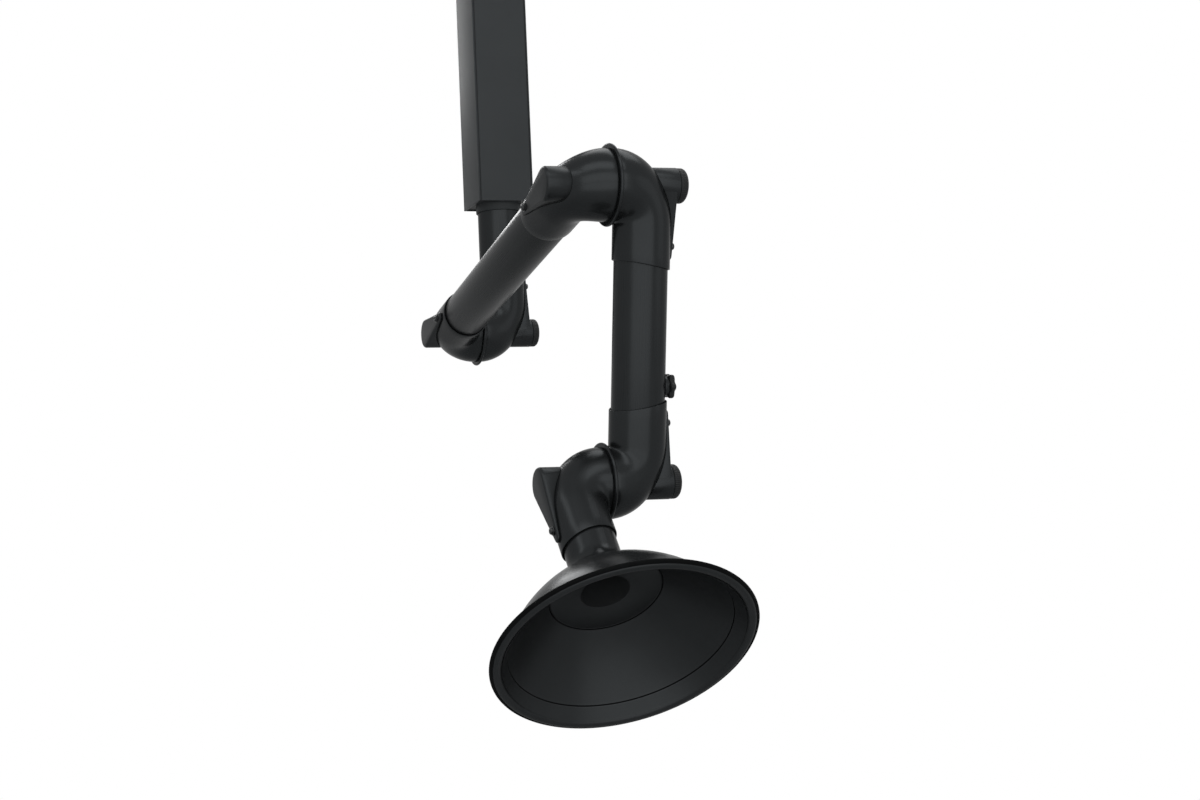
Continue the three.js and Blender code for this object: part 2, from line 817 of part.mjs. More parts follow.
// Column and what it holds
piece(arm, 'ceiling_plate', ceilingPlate(), coated);
piece(arm, 'column_profile', columnProfile(), coated);
const sideScrew = moved(screw(columnScrewShank), columnWidth / 2, 0, socketScrewZ);
piece(arm, 'socket_screw_right', sideScrew, blackSteel);
piece(arm, 'socket_screw_left', leftHanded(sideScrew), blackSteel);
const backScrew = solid(geometryOf(screw(housingScrewShank)).rotateZ(Math.PI / 2));
for (const [name, side] of [['right', 1], ['left', -1]]) {
  const placed = moved(backScrew, side * housingScrewX, columnWidth / 2, housingScrewZ);
  piece(arm, `housing_screw_${name}`, placed, blackSteel);
}
piece(arm, 'riser_pipe', tube(boreRadius, tubeRadius, riserBottom, spigotHeight, tubeFacets), anodised);
const sealTop = cupTop - cupClearance / 2;
const seal = tube(sleeveRadius, cupRadius - fit, sealTop - sealHeight, sealTop, tubeFacets);
piece(arm, 'riser_seal', seal, rubber);
piece(arm, 'swivel_housing', swivelHousing(), coated);
const bushBase = shoulderBearing + fit;
const bush = tube(bearingRadius, cupRadius - fit, bushBase, bushBase + bushHeight, tubeFacets);
piece(arm, 'swivel_bush', bush, bearing);

// Swivelling tube with the right half of the shoulder
piece(arm, 'upper_tube', upperTube(), anodised);
const shoulder = link(arm, -jointOffset, shoulderZ, 0);
rightHalf(shoulder, 'shoulder', upturned);

// First arm, from the shoulder's left half to the middle joint's left half
const firstArm = link(shoulder, 0, 0, -90 - firstArmRise);
leftHalf(firstArm, 'shoulder', asDrawn);
piece(besideSeam(firstArm, -1), 'first_arm_tube', armTube(firstArmLength, -1), anodised);
const middle = link(firstArm, 0, -firstArmLength, 0);
leftHalf(middle, 'middle', upturned);

// Second arm, from the middle joint's right half to the wrist's right half
const secondArm = link(middle, 0, 0, 90 + firstArmRise + secondArmLean);
rightHalf(secondArm, 'middle', asDrawn);
const secondAxis = besideSeam(secondArm, 1);
piece(secondAxis, 'second_arm_tube', secondArmTube(), anodised);
const damper = link(secondAxis, 0, damperZ, 0);
piece(damper, 'damper_shaft', damperShaft(), steel);
piece(damper, 'damper_plate', damperPlate(), steel);
piece(damper, 'damper_base', damperBase(), moulded);
piece(damper, 'damper_knob', damperKnob(), ribbed);
const wrist = link(secondArm, 0, -secondArmLength, 0);
rightHalf(wrist, 'wrist', upturned);

// Hood on the wrist's left half
const hood = link(wrist, 0, 0, -secondArmLean - hoodTilt);
leftHalf(hood, 'wrist', asDrawn);
const hoodAxis = besideSeam(hood, -1);
piece(hoodAxis, 'hood_neck_pipe', hoodNeckPipe(), moulded);
piece(hoodAxis, 'hood_bell', hoodBell(), moulded);
piece(hoodAxis, 'hood_throat', hoodThroat(), moulded);
piece(hoodAxis, 'hood_rim', hoodRim(), moulded);
piece(hoodAxis, 'hood_edge', hoodEdge(), rubber);

export default arm;
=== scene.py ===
# %% [markdown]
# # A ceiling-hung fume extraction arm
# A square column hangs from the ceiling. Below it a round duct swivels, and two arms made of the
# same duct carry a flared hood to the fumes. Each of the three joints is a pair of pipe bends
# that turn against each other on a rubber ring, and a ribbed knob squeezes them together.
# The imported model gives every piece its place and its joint. The lesson builds finer shapes there
# and gives each one a finish, so first of all the model is loaded and measured.

import json
from math import acos, asin, cos, hypot, pi, radians, sin, sqrt, tan

import bmesh
import bpy
from mathutils import Matrix, Vector
from mathutils.bvhtree import BVHTree


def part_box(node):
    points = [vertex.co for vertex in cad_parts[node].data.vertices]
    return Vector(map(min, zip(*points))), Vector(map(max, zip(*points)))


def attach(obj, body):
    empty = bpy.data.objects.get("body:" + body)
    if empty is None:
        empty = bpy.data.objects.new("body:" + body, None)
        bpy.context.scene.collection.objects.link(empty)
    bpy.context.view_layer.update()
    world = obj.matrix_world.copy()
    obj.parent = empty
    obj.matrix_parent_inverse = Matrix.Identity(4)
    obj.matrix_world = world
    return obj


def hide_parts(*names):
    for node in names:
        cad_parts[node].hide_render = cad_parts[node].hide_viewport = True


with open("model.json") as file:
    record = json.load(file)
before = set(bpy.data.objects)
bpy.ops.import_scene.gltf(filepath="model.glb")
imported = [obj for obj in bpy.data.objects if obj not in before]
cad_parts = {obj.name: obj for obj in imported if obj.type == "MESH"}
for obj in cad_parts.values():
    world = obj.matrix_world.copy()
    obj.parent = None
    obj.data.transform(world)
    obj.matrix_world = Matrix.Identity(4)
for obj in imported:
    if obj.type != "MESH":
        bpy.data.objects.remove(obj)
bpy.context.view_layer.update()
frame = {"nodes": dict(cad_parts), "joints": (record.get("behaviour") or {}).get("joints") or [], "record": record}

# %% [markdown]
# The hinge points come from the joints of the model, so that the finer shapes sit on the same
# axes. Three directions follow from them: each arm leads from one hinge to the next, and the
# hood leads from the wrist to the middle of its rim.

# %% Hinge points and directions
MM = 0.001
UP = Vector((0, 0, 1))
hinge = {joint["name"]: Vector(joint["pos_m"]) for joint in frame["joints"]}
shoulder = hinge["shoulder_pivot"]
middle = hinge["middle_pivot"]
wrist = hinge["wrist_pivot"]
damper = hinge["damper_turn"]
first_arm_lead = (middle - shoulder).normalized()
second_arm_lead = (wrist - middle).normalized()
rim_low, rim_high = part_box("hood_edge")
rim_centre = (rim_low + rim_high) / 2
hood_lead = (rim_centre - Vector((rim_centre.x, wrist.y, wrist.z))).normalized()
first_arm_length = (middle - shoulder).length / MM
second_arm_length = (wrist - middle).length / MM
print("arms", round(first_arm_length), round(second_arm_length), "mm")

# %% [markdown]
# Every piece of a joint is drawn in one small coordinate system: X is the hinge axis and the tube
# hangs down along -Z. A matrix then seats the drawing in the arm. Drawing in the piece's own
# system also keeps its texture coordinates in line with it, whatever way the arm is folded.

# %% Seats of the pieces
JOINT_OFFSET = 50


def seat(origin, lead):
    """Where a piece goes whose tube leads that way from a hinge."""
    z = -lead
    x = Vector((1, 0, 0))
    turn = Matrix((x, z.cross(x), z)).transposed().to_4x4()
    return Matrix.Translation(origin) @ turn


def beside(place, side):
    """The same seat, moved from the seam of the joint to the tube's own axis."""
    return place @ Matrix.Translation((side * JOINT_OFFSET * MM, 0, 0))


RIGHT_SEATS = {
    "shoulder": seat(shoulder, UP),
    "middle": seat(middle, second_arm_lead),
    "wrist": seat(wrist, -second_arm_lead),
}
LEFT_SEATS = {
    "shoulder": seat(shoulder, first_arm_lead),
    "middle": seat(middle, -first_arm_lead),
    "wrist": seat(wrist, hood_lead),
}
print("joint halves", len(RIGHT_SEATS) + len(LEFT_SEATS))

# %% [markdown]
# ## Finishes
# All the finishes are written as nodes. Node trees are hard to read as lists of links, so a small
# class wraps one socket and lets sums be written as Python: `1 - mask` adds a Math node. Colours
# go through Mix and vectors through Vector Math, because a Math node would turn them grey.

# %% A wrapper for sockets
class Wire:
    """One output socket of a node tree, on which sums read as Python."""

    def __init__(self, sheet, socket):
        self.sheet = sheet
        self.socket = socket

    def sum_with(self, operation, first, second):
        return self.sheet.node("ShaderNodeMath", {"operation": operation}, {0: first, 1: second})

    def __add__(self, other):
        return self.sum_with("ADD", self, other)

    __radd__ = __add__

    def __mul__(self, other):
        return self.sum_with("MULTIPLY", self, other)

    __rmul__ = __mul__

    def __sub__(self, other):
        return self.sum_with("SUBTRACT", self, other)

    def __rsub__(self, other):
        return self.sum_with("SUBTRACT", other, self)


class Sheet:
    """A node tree that is being written, of a material or of the world."""

    def __init__(self, owner):
        owner.use_nodes = True
        self.tree = owner.node_tree
        self.tree.nodes.clear()

    def node(self, kind, settings=None, inputs=None, output=0):
        made = self.tree.nodes.new(kind)
        for key, value in (settings or {}).items():
            setattr(made, key, value)
        for key, value in (inputs or {}).items():
            if isinstance(value, Wire):
                self.tree.links.new(value.socket, made.inputs[key])
            else:
                made.inputs[key].default_value = value
        return Wire(self, made.outputs[output]) if len(made.outputs) else made


print("wrapper ready")

# %% [markdown]
# A few words make up the finishes: the place on the piece, noise of a given grain, a colour
# between two colours, and a mask that picks a band of values. Grain is given in millimetres, and
# the Noise node wants a scale, so the helper turns one into the other.

# %% Words for finishes
def place_on(sheet, stretch=None):
    spot = sheet.node("ShaderNodeTexCoord", output="Object")
    if stretch is None:
        return spot
    return sheet.node("ShaderNodeVectorMath", {"operation": "MULTIPLY"}, {0: spot, 1: stretch})


def noise(sheet, grain, detail=2.0, stretch=None):
    inputs = {"Vector": place_on(sheet, stretch), "Scale": 1 / (grain * MM), "Detail": detail}
    return sheet.node("ShaderNodeTexNoise", {}, inputs)


def between(sheet, low, high, share):
    return sheet.node("ShaderNodeMix", {"data_type": "RGBA"}, {0: share, 6: low, 7: high}, output=2)


def mask(sheet, value, low, high):
    return sheet.node("ShaderNodeMapRange", {}, {"Value": value, "From Min": low, "From Max": high})


def bump(sheet, height, strength, depth):
    inputs = {"Height": height, "Strength": strength, "Distance": depth * MM}
    return sheet.node("ShaderNodeBump", {}, inputs)


def edges(sheet, low, high):
    """1 on the sharp outer edges of a piece, where handling wears it and a painted highlight lightens it."""
    return mask(sheet, sheet.node("ShaderNodeNewGeometry", output="Pointiness"), low, high)


def principled(name, write):
    """A material whose surface is described by write(sheet), as socket names and values."""
    material = bpy.data.materials.new(name)
    sheet = Sheet(material)
    surface = sheet.node("ShaderNodeBsdfPrincipled", {}, write(sheet))
    sheet.node("ShaderNodeOutputMaterial", {}, {"Surface": surface})
    print("finish", name)
    return material


def shade(level, tint=(0.93, 1.0, 1.04)):
    """A dark grey with a slight cool tint, as a colour of four numbers."""
    return tuple(level * part for part in tint) + (1.0,)


FINISH = {}
print("words ready")

# %% [markdown]
# The column and the ceiling plate are steel with a powder coat. The powder melts into a skin with
# a faint orange peel about a millimetre across. A bump of that grain does it, and slow clouds in
# the roughness keep the flat faces from looking like card.

# %% Powder-coated steel
def powder_coat(sheet):
    peel = noise(sheet, 1.3)
    clouds = noise(sheet, 110, 3)
    speck = noise(sheet, 0.35)
    # Sharp edges are painted lighter: partly wear, partly a painted highlight.
    worn_and_highlit = edges(sheet, 0.53, 0.62)
    colour = between(sheet, shade(0.028), shade(0.037), clouds)
    return {
        "Base Color": between(sheet, colour, shade(0.06), worn_and_highlit * 0.5),
        "Roughness": 0.38 + clouds * 0.1 + speck * 0.08 - worn_and_highlit * 0.08,
        "Specular IOR Level": 0.025,
        "Normal": bump(sheet, peel + speck * 0.25, 0.12, 0.25),
    }


FINISH["coated_steel"] = principled("powder_coated_steel", powder_coat)

# %% [markdown]
# The ducts are drawn aluminium, anodised black. Drawing leaves fine lines along the tube, and
# these show as streaks in the gloss: multiplying the place by a small number in Z makes each
# grain of the noise many times longer that way. The base colour of a metal tints what it mirrors,
# and the dye makes that tint nearly black.

# %% Anodised duct
EDGE_TINT = (0.68, 0.68, 0.68, 1.0)


def anodised(sheet):
    streaks = noise(sheet, 1.1, 3, stretch=(1, 1, 0.012))
    clouds = noise(sheet, 60, 3)
    speck = noise(sheet, 0.3)
    return {
        "Base Color": between(sheet, shade(0.018), shade(0.026), streaks * 0.6 + clouds * 0.4),
        "Roughness": 0.2 + streaks * 0.12 + clouds * 0.06,
        "Metallic": 0.7,
        "Specular IOR Level": 0.0,
        "Specular Tint": EDGE_TINT,
        "Normal": bump(sheet, streaks + speck * 0.4, 0.08, 0.08),
    }


FINISH["anodised_tube"] = principled("anodised_duct", anodised)

# %% [markdown]
# Bends, brackets and hood are moulded in black plastic. A spark-eroded mould leaves a very fine
# even grain, and edges that hands and tools touch come out smoother. Their lighter colour is partly
# wear and partly a painted highlight.
#
# Plain plastic shines more and more as it curves away from the eye, which would turn round bends
# pale. These shine evenly until the very edge, as lacquer does. A metallic share with a dark base
# gives that even shine, and a tint for slanting light holds it down. Bends, seam rings and the
# outside of the hood are glossy. Brackets and the inside of the hood are satin.

# %% Moulded plastic
def moulded(sheet, dull=0.0):
    grain = noise(sheet, 0.45, 3)
    flow = noise(sheet, 42, 3, stretch=(1, 1, 0.35))
    speck = noise(sheet, 0.16)
    # Sharp edges are painted lighter: partly wear, partly a painted highlight.
    worn_and_highlit = edges(sheet, 0.53, 0.64)
    colour = between(sheet, shade(0.019), shade(0.026), flow * 0.7 + speck * 0.3)
    return {
        "Base Color": between(sheet, colour, shade(0.05), worn_and_highlit * 0.4),
        "Roughness": 0.18 + dull + flow * 0.08 + grain * 0.06 - worn_and_highlit * 0.04,
        "Metallic": 0.65,
        "Specular IOR Level": 0.0,
        "Specular Tint": EDGE_TINT,
        "Normal": bump(sheet, grain + speck * 0.3, 0.1, 0.12),
    }


def satin_moulded(sheet):
    """The same plastic from a coarser mould, for faces that shine less."""
    return moulded(sheet, dull=0.1)


FINISH["moulded_plastic"] = principled("moulded_plastic", moulded)
satin_finish = principled("satin_plastic", satin_moulded)

# %% [markdown]
# Where the draught enters the duct, dust settles on the wall. It scatters light the same way in
# all directions, so this finish is rough, with hardly any shine.

# %% Dusty plastic
def dusty(sheet):
    drift = noise(sheet, 16, 3)
    grain = noise(sheet, 0.5)
    return {
        "Base Color": between(sheet, shade(0.016), shade(0.025), drift * 0.7 + grain * 0.3),
        "Roughness": 0.72 + grain * 0.12,
        "Specular IOR Level": 0.1,
        "Normal": bump(sheet, grain, 0.12, 0.12),
    }


dusty_finish = principled("dusty_plastic", dusty)

# %% [markdown]
# The knobs are a blacker, duller plastic, for grip. A little pale dust stays in the grooves
# between the ribs. The same edge word finds grooves when its band lies below the middle value.

# %% Grip plastic
def grip(sheet):
    grain = noise(sheet, 0.5, 3)
    clouds = noise(sheet, 12)
    groove = edges(sheet, 0.49, 0.44)
    # Sharp edges are painted lighter: partly wear, partly a painted highlight.
    worn_and_highlit = edges(sheet, 0.53, 0.6)
    colour = between(sheet, shade(0.008), shade(0.013), clouds)
    dusted = between(sheet, colour, shade(0.03, (1.0, 1.0, 0.98)), groove * clouds * 0.4)
    return {
        "Base Color": between(sheet, dusted, shade(0.03), worn_and_highlit * 0.4),
        "Roughness": 0.46 + grain * 0.12 + groove * 0.1 - worn_and_highlit * 0.08,
        "Specular IOR Level": 0.13,
        "Normal": bump(sheet, grain, 0.14, 0.15),
    }


FINISH["ribbed_plastic"] = principled("grip_plastic", grip)

# %% [markdown]
# Rubber is used for the seal in the column and the bead round the hood. It is matt, and old rubber
# gets a faint grey bloom in patches. The bead is a softer kind, pure black and duller still; its
# deep black is partly its own and partly painted shade for the dark outline of the mouth. The same
# black is painted into the fine grooves of the hood as shade.

# %% Rubber
def rubbery(sheet):
    bloom = noise(sheet, 18, 4)
    grain = noise(sheet, 0.4)
    return {
        "Base Color": between(sheet, shade(0.008), shade(0.017), mask(sheet, bloom, 0.4, 0.75)),
        "Roughness": 0.36 + bloom * 0.12 + grain * 0.08,
        "Specular IOR Level": 0.13,
        "Normal": bump(sheet, grain, 0.12, 0.15),
    }


# Nearly pure black: the bead's own rubber, and painted shade where it outlines the mouth and lines the hood's
# grooves.
def bead_rubber_and_painted_shade(sheet):
    grain = noise(sheet, 0.4)
    dust = noise(sheet, 26, 3)
    return {
        "Base Color": between(sheet, shade(0.003), shade(0.005), mask(sheet, dust, 0.45, 0.8)),
        "Roughness": 0.55 + dust * 0.1 + grain * 0.08,
        "Specular IOR Level": 0.02,
        "Normal": bump(sheet, grain, 0.1, 0.12),
    }


FINISH["rubber"] = principled("black_rubber", rubbery)
bead_black_and_painted_shade = principled("bead_rubber_and_painted_shade", bead_rubber_and_painted_shade)

# %% [markdown]
# The small metal parts: bright steel for spindles, springs and the damper, blackened steel for
# the screws. Turning leaves fine rings round the axis of a spindle, so its noise is stretched
# across the axis instead of along it.

# %% Steels
def bright_steel(sheet):
    rings = noise(sheet, 0.5, stretch=(1, 0.03, 0.03))
    clouds = noise(sheet, 9)
    return {
        "Base Color": between(sheet, shade(0.23), shade(0.3), clouds),
        "Roughness": 0.26 + rings * 0.14 + clouds * 0.06,
        "Metallic": 1.0,
        "Normal": bump(sheet, rings, 0.1, 0.05),
    }


def black_steel(sheet):
    clouds = noise(sheet, 3, 3)
    grain = noise(sheet, 0.25)
    # Sharp edges are painted lighter: partly wear, partly a painted highlight.
    worn_and_highlit = edges(sheet, 0.54, 0.64)
    colour = between(sheet, shade(0.014), shade(0.022), clouds)
    return {
        "Base Color": between(sheet, colour, shade(0.11), worn_and_highlit * 0.35),
        "Roughness": 0.34 + clouds * 0.14 - worn_and_highlit * 0.06,
        "Metallic": 0.6,
        "Normal": bump(sheet, grain, 0.1, 0.06),
    }


FINISH["bright_steel"] = principled("bright_steel", bright_steel)
FINISH["black_steel"] = principled("black_steel", black_steel)

# %% [markdown]
# The swivel runs on a bush of pale bearing plastic. It is waxy: smooth and slightly mottled, with
# finer marks that run along it.

# %% Bearing plastic
def bearing(sheet):
    mottle = noise(sheet, 5, 3)
    track = noise(sheet, 2, stretch=(1, 1, 0.05))
    return {
        "Base Color": between(sheet, shade(0.24, (1, 1, 0.93)), shade(0.3, (1, 1, 0.95)), mottle),
        "Roughness": 0.36 + mottle * 0.12 + track * 0.08,
        "Normal": bump(sheet, track, 0.08, 0.05),
    }


FINISH["bearing_plastic"] = principled("bearing_plastic", bearing)

# %% [markdown]
# ## Making meshes
# Nearly every piece of this object is a skin over rings of points: a tube is a skin over circles,
# a bend is a skin over circles that turn, a knob is a skin over wavy rings. A shape is kept as a
# list of points and a list of faces, so that two shapes can be joined or mirrored by plain code.

# %% Skins over rings
def skin(rings, loop=False, ends=True):
    """Faces over rings of equally many points; loop joins the last ring to the first."""
    count = len(rings[0])
    points = [point for ring in rings for point in ring]
    faces = []
    for row in range(len(rings) if loop else len(rings) - 1):
        here = row * count
        there = (row + 1) % len(rings) * count
        for i in range(count):
            j = (i + 1) % count
            faces.append((here + i, here + j, there + j, there + i))
    if ends and not loop:
        faces.append(tuple(range(count)))
        faces.append(tuple(range(len(points) - count, len(points))))
    return points, faces


def joined(*shapes):
    points, faces = [], []
    for some_points, some_faces in shapes:
        start = len(points)
        points.extend(some_points)
        faces.extend(tuple(i + start for i in face) for face in some_faces)
    return points, faces


def mirrored(shape):
    """The left-hand copy of a right-hand shape."""
    points, faces = shape
    return [Vector((-p.x, p.y, p.z)) for p in points], faces


def moved(shape, x, y, z):
    points, faces = shape
    return [p + Vector((x, y, z)) for p in points], faces


print("skins ready")

# %% [markdown]
# Real edges are never knife sharp, and the thin light line along an edge is what makes a render
# look solid. So a section is given as corners with a fillet each, and `rounded` puts a small arc
# in place of every corner. A bevel modifier could do this too, but it stumbles on skins that
# are already dense.

# %% Rounded sections
STRAIGHT = 1.55
SIDE_SHARE = 0.49


def rounded(corners, steps=4):
    """A closed section from (u, v, fillet) corners, with an arc at each corner.

    A corner that is nearly straight stays as it is, and no arc takes up half of a side."""
    section = []
    for i, (u, v, fillet) in enumerate(corners):
        here = Vector((u, v))
        back = Vector(corners[i - 1][:2]) - here
        ahead = Vector(corners[(i + 1) % len(corners)][:2]) - here
        half = back.angle(ahead) / 2
        if fillet <= 0 or half > STRAIGHT:
            section.append(here)
            continue
        longest = SIDE_SHARE * min(back.length, ahead.length)
        reach = min(fillet / tan(half), longest)
        radius = reach * tan(half)
        back.normalize()
        ahead.normalize()
        centre = here + (back + ahead).normalized() * (radius / sin(half))
        start = here + back * reach - centre
        end = here + ahead * reach - centre
        for k in range(steps + 1):
            section.append(centre + start.lerp(end, k / steps).normalized() * radius)
    return section


print("rounding ready")

# %% [markdown]
# Tubes, rings and the hood could come from a screw modifier, but a formula turns them in one step.
# Ducts turn about Z. What sits on a hinge turns about X, and there a ring may have a different
# radius at each point, which makes ribs, lobes and hexagons.

# %% Turned pieces
def even(start, end, steps):
    """Evenly spaced values, with both ends."""
    return [start + (end - start) * k / steps for k in range(steps + 1)]


def around(count):
    """Cosine and sine of equal turns."""
    return [(cos(turn), sin(turn)) for turn in even(0, 2 * pi, count)[:-1]]


def turned(section, facets=96):
    """A piece turned about Z from a closed section of (radius, height)."""
    wheel = around(facets)
    rings = [[Vector((r * c, r * s, z)) for c, s in wheel] for r, z in section]
    return skin(rings, loop=True)


def sleeve(inner, outer, low, high, fillets):
    """A turned ring of rectangular section; its fillets go round from the lower inner corner."""
    corners = ((inner, low), (outer, low), (outer, high), (inner, high))
    return turned(rounded([(*corner, fillet) for corner, fillet in zip(corners, fillets)]))


def ring_x(x, radii):
    """A ring about X, with a radius for each of its points."""
    return [Vector((x, r * c, r * s)) for r, (c, s) in zip(radii, around(len(radii)))]


def turned_x(section, facets=96):
    """A piece turned about X from a closed section of (radius, place along X)."""
    return skin([ring_x(x, [r] * facets) for r, x in section], loop=True)


print("turning ready")

# %% [markdown]
# One function turns a shape into an object. It merges points that fall together, points all faces
# outwards, and shades smoothly except across sharp corners. Then it hangs the piece on an empty for
# the body it rides on, names it after the CAD node it stands for and hides that node. The finish
# follows from the slot, unless another one is named.

# %% From shape to piece
BODY_OF = {}
for body, nodes in frame["record"]["behaviour"]["bodies"].items():
    for node in nodes:
        BODY_OF[node] = body
SHARP = radians(38)
SAME_POINT = 1e-6
HERE = Matrix.Identity(4)
pieces = {}


def shown(name, data):
    """A new object in the scene."""
    obj = bpy.data.objects.new(name, data)
    bpy.context.scene.collection.objects.link(obj)
    return obj


def piece(node, shape, place, slot, *also, finish=None):
    points, faces = shape
    mesh = bpy.data.meshes.new(node)
    mesh.from_pydata([point * MM for point in points], [], faces)
    work = bmesh.new()
    work.from_mesh(mesh)
    bmesh.ops.remove_doubles(work, verts=work.verts, dist=SAME_POINT)
    bmesh.ops.recalc_face_normals(work, faces=work.faces)
    work.to_mesh(mesh)
    work.free()
    mesh.shade_smooth()
    mesh.set_sharp_from_angle(angle=SHARP)
    mesh.materials.append(finish or FINISH[slot])
    obj = shown(node + "_fine", mesh)
    obj.matrix_world = place
    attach(obj, BODY_OF[node])
    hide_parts(node, *also)
    pieces[node] = obj
    return obj


def made(ending):
    """How many pieces there are with that ending."""
    return sum(name.endswith(ending) for name in pieces)


# %% [markdown]
# ## Column
# The column is a square steel profile. A narrow groove runs down beside each corner of its front
# and back. The outline is walked once round with small arcs at the corners, and the inside is the
# same walk held within the bore, so that both loops have the same number of points and one skin
# covers outside, ends and inside.

# %% Column profile
COLUMN_WIDTH = 100
COLUMN_WALL = 3
COLUMN_EDGE = 1.5
COLUMN_END_EDGE = 0.4
GROOVE_INSET = 2.2
GROOVE_WIDTH = 2.2
GROOVE_DEPTH = 1.8
GROOVE_EDGE = 0.35
column_low, column_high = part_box("column_profile")
column_bottom = column_low.z / MM
column_top = column_high.z / MM
column_half = COLUMN_WIDTH / 2


def column_outline():
    start = column_half - GROOVE_INSET
    end = start - GROOVE_WIDTH
    depth = column_half - GROOVE_DEPTH
    left = [
        (-column_half, -column_half, COLUMN_EDGE),
        (-start, -column_half, GROOVE_EDGE),
        (-start, -depth, 0),
        (-end, -depth, 0),
        (-end, -column_half, GROOVE_EDGE),
    ]
    front = left + [(-x, y, fillet) for x, y, fillet in reversed(left)]
    back = [(-x, -y, fillet) for x, y, fillet in front]
    return rounded(front + back, 5)


def column_shape():
    outline = column_outline()
    bore = column_half - COLUMN_WALL
    held = [Vector([max(-bore, min(bore, value)) for value in p]) for p in outline]
    ease = [p * (1 - COLUMN_END_EDGE / column_half) for p in outline]
    rows = [(held, column_bottom), (ease, column_bottom), (outline, column_bottom + COLUMN_END_EDGE)]
    rows += [(outline, column_top - COLUMN_END_EDGE), (ease, column_top), (held, column_top)]
    return skin([[Vector((*p, z)) for p in loop] for loop, z in rows], loop=True)


piece("column_profile", column_shape(), HERE, "coated_steel")
print("column", round(column_top - column_bottom), "mm long")

# %% [markdown]
# A flat plate with holes is exactly what a filled 2D curve is: one outline, one spline for each
# hole, and an extrusion with a small bevel. The curve is turned into a plain mesh at once,
# because the model keeps meshes.

# %% Plates from filled curves
def plate_shape(outline, holes, low, high, edge=0.6):
    """A flat plate between two heights; outline is a list of points, holes are (x, y, radius)."""
    curve = bpy.data.curves.new("plate_outline", "CURVE")
    curve.dimensions = "2D"
    curve.fill_mode = "BOTH"
    curve.extrude = (high - low) / 2 - edge
    curve.bevel_depth = edge
    curve.bevel_resolution = 2
    curve.offset = -edge
    loops = [outline]
    for x, y, radius in holes:
        loops.append([(x + radius * c, y + radius * s) for c, s in around(64)])
    for loop in loops:
        spline = curve.splines.new("POLY")
        spline.points.add(len(loop) - 1)
        for point, (x, y) in zip(spline.points, loop):
            point.co = (x, y, 0, 1)
        spline.use_cyclic_u = True
    holder = bpy.data.objects.new("plate_outline", curve)
    mesh = bpy.data.meshes.new_from_object(holder)
    lift = Vector((0, 0, (high + low) / 2))
    shape = [v.co + lift for v in mesh.vertices], [tuple(f.vertices) for f in mesh.polygons]
    bpy.data.objects.remove(holder)
    bpy.data.meshes.remove(mesh)
    bpy.data.curves.remove(curve)
    return shape


def square(width, corner, steps=8):
    signs = ((-1, -1), (1, -1), (1, 1), (-1, 1))
    return rounded([(x * width / 2, y * width / 2, corner) for x, y in signs], steps)


def square_tube(outer, inner, corner, low, high):
    rows = [(inner, low), (outer, low), (outer, high), (inner, high)]
    return skin([[Vector((*p, z)) for p in square(width, corner)] for width, z in rows], loop=True)


print("plates ready")

# %% [markdown]
# The ceiling plate has four bolt holes and a hole for the duct. The square socket under it fits
# inside the column and reaches a little into the plate, so that no gap shows between the two.

# %% Ceiling plate
FIT = 0.3
OVERLAP = 1
PLATE_WIDTH = 180
PLATE_CORNER = 12
PLATE_THICKNESS = 8
BOLT_SPACING = 140
BOLT_HOLE_RADIUS = 4.5
SLEEVE_RADIUS = 37.8
SOCKET_HEIGHT = 40
SOCKET_WALL = 4
SOCKET_CORNER = 1.5
socket_width = COLUMN_WIDTH - 2 * COLUMN_WALL - 2 * FIT
plate_holes = [(0, 0, SLEEVE_RADIUS)]
for x in (-1, 1):
    plate_holes += [(x * BOLT_SPACING / 2, y * BOLT_SPACING / 2, BOLT_HOLE_RADIUS) for y in (-1, 1)]
plate = plate_shape(square(PLATE_WIDTH, PLATE_CORNER), plate_holes, -PLATE_THICKNESS, 0)
socket_bore = socket_width - 2 * SOCKET_WALL
socket_low = -PLATE_THICKNESS - SOCKET_HEIGHT
socket_high = -PLATE_THICKNESS + OVERLAP
socket = square_tube(socket_width, socket_bore, SOCKET_CORNER, socket_low, socket_high)
piece("ceiling_plate", joined(plate, socket), HERE, "coated_steel")
print("plate holes", len(plate_holes))

# %% [markdown]
# The swivel housing closes the foot of the column. Its square flange sits a little above the
# column's end, which leaves the dark shadow line there, and a round skirt hangs below it round
# the swivelling tube. Above, a cup holds the bush and the seal.

# %% Swivel housing
HOUSING_RECESS = 2
HOUSING_FLANGE = 9
SKIRT_LENGTH = 13
SKIRT_WALL = 2.4
BEARING_RADIUS = 38
CUP_RADIUS = 43
CUP_WALL = 2.6
flange_low = column_bottom + HOUSING_RECESS
flange_high = flange_low + HOUSING_FLANGE
skirt_low = column_bottom - SKIRT_LENGTH
skirt_radius = BEARING_RADIUS + SKIRT_WALL
cup_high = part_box("swivel_housing")[1].z / MM
flange_hole = [(0, 0, BEARING_RADIUS)]
flange = plate_shape(square(socket_width, SOCKET_CORNER), flange_hole, flange_low, flange_high)
skirt = sleeve(BEARING_RADIUS, skirt_radius, skirt_low, flange_low + OVERLAP, (0.5, 0.8, 0, 0))
cup = sleeve(CUP_RADIUS, CUP_RADIUS + CUP_WALL, flange_high - OVERLAP, cup_high, (0, 0, 0.6, 0.6))
piece("swivel_housing", joined(flange, skirt, cup), HERE, "coated_steel")
print("skirt ends at", round(skirt_low), "mm")

# %% [markdown]
# ## Ducts
# Four lengths of the same duct: the riser in the column, which ends as a spigot above the
# ceiling plate, the swivelling tube, and the two arms. They are turned, with edges broken by half
# a millimetre. The spigot gets the raised bead that keeps a hose clamp from slipping off.

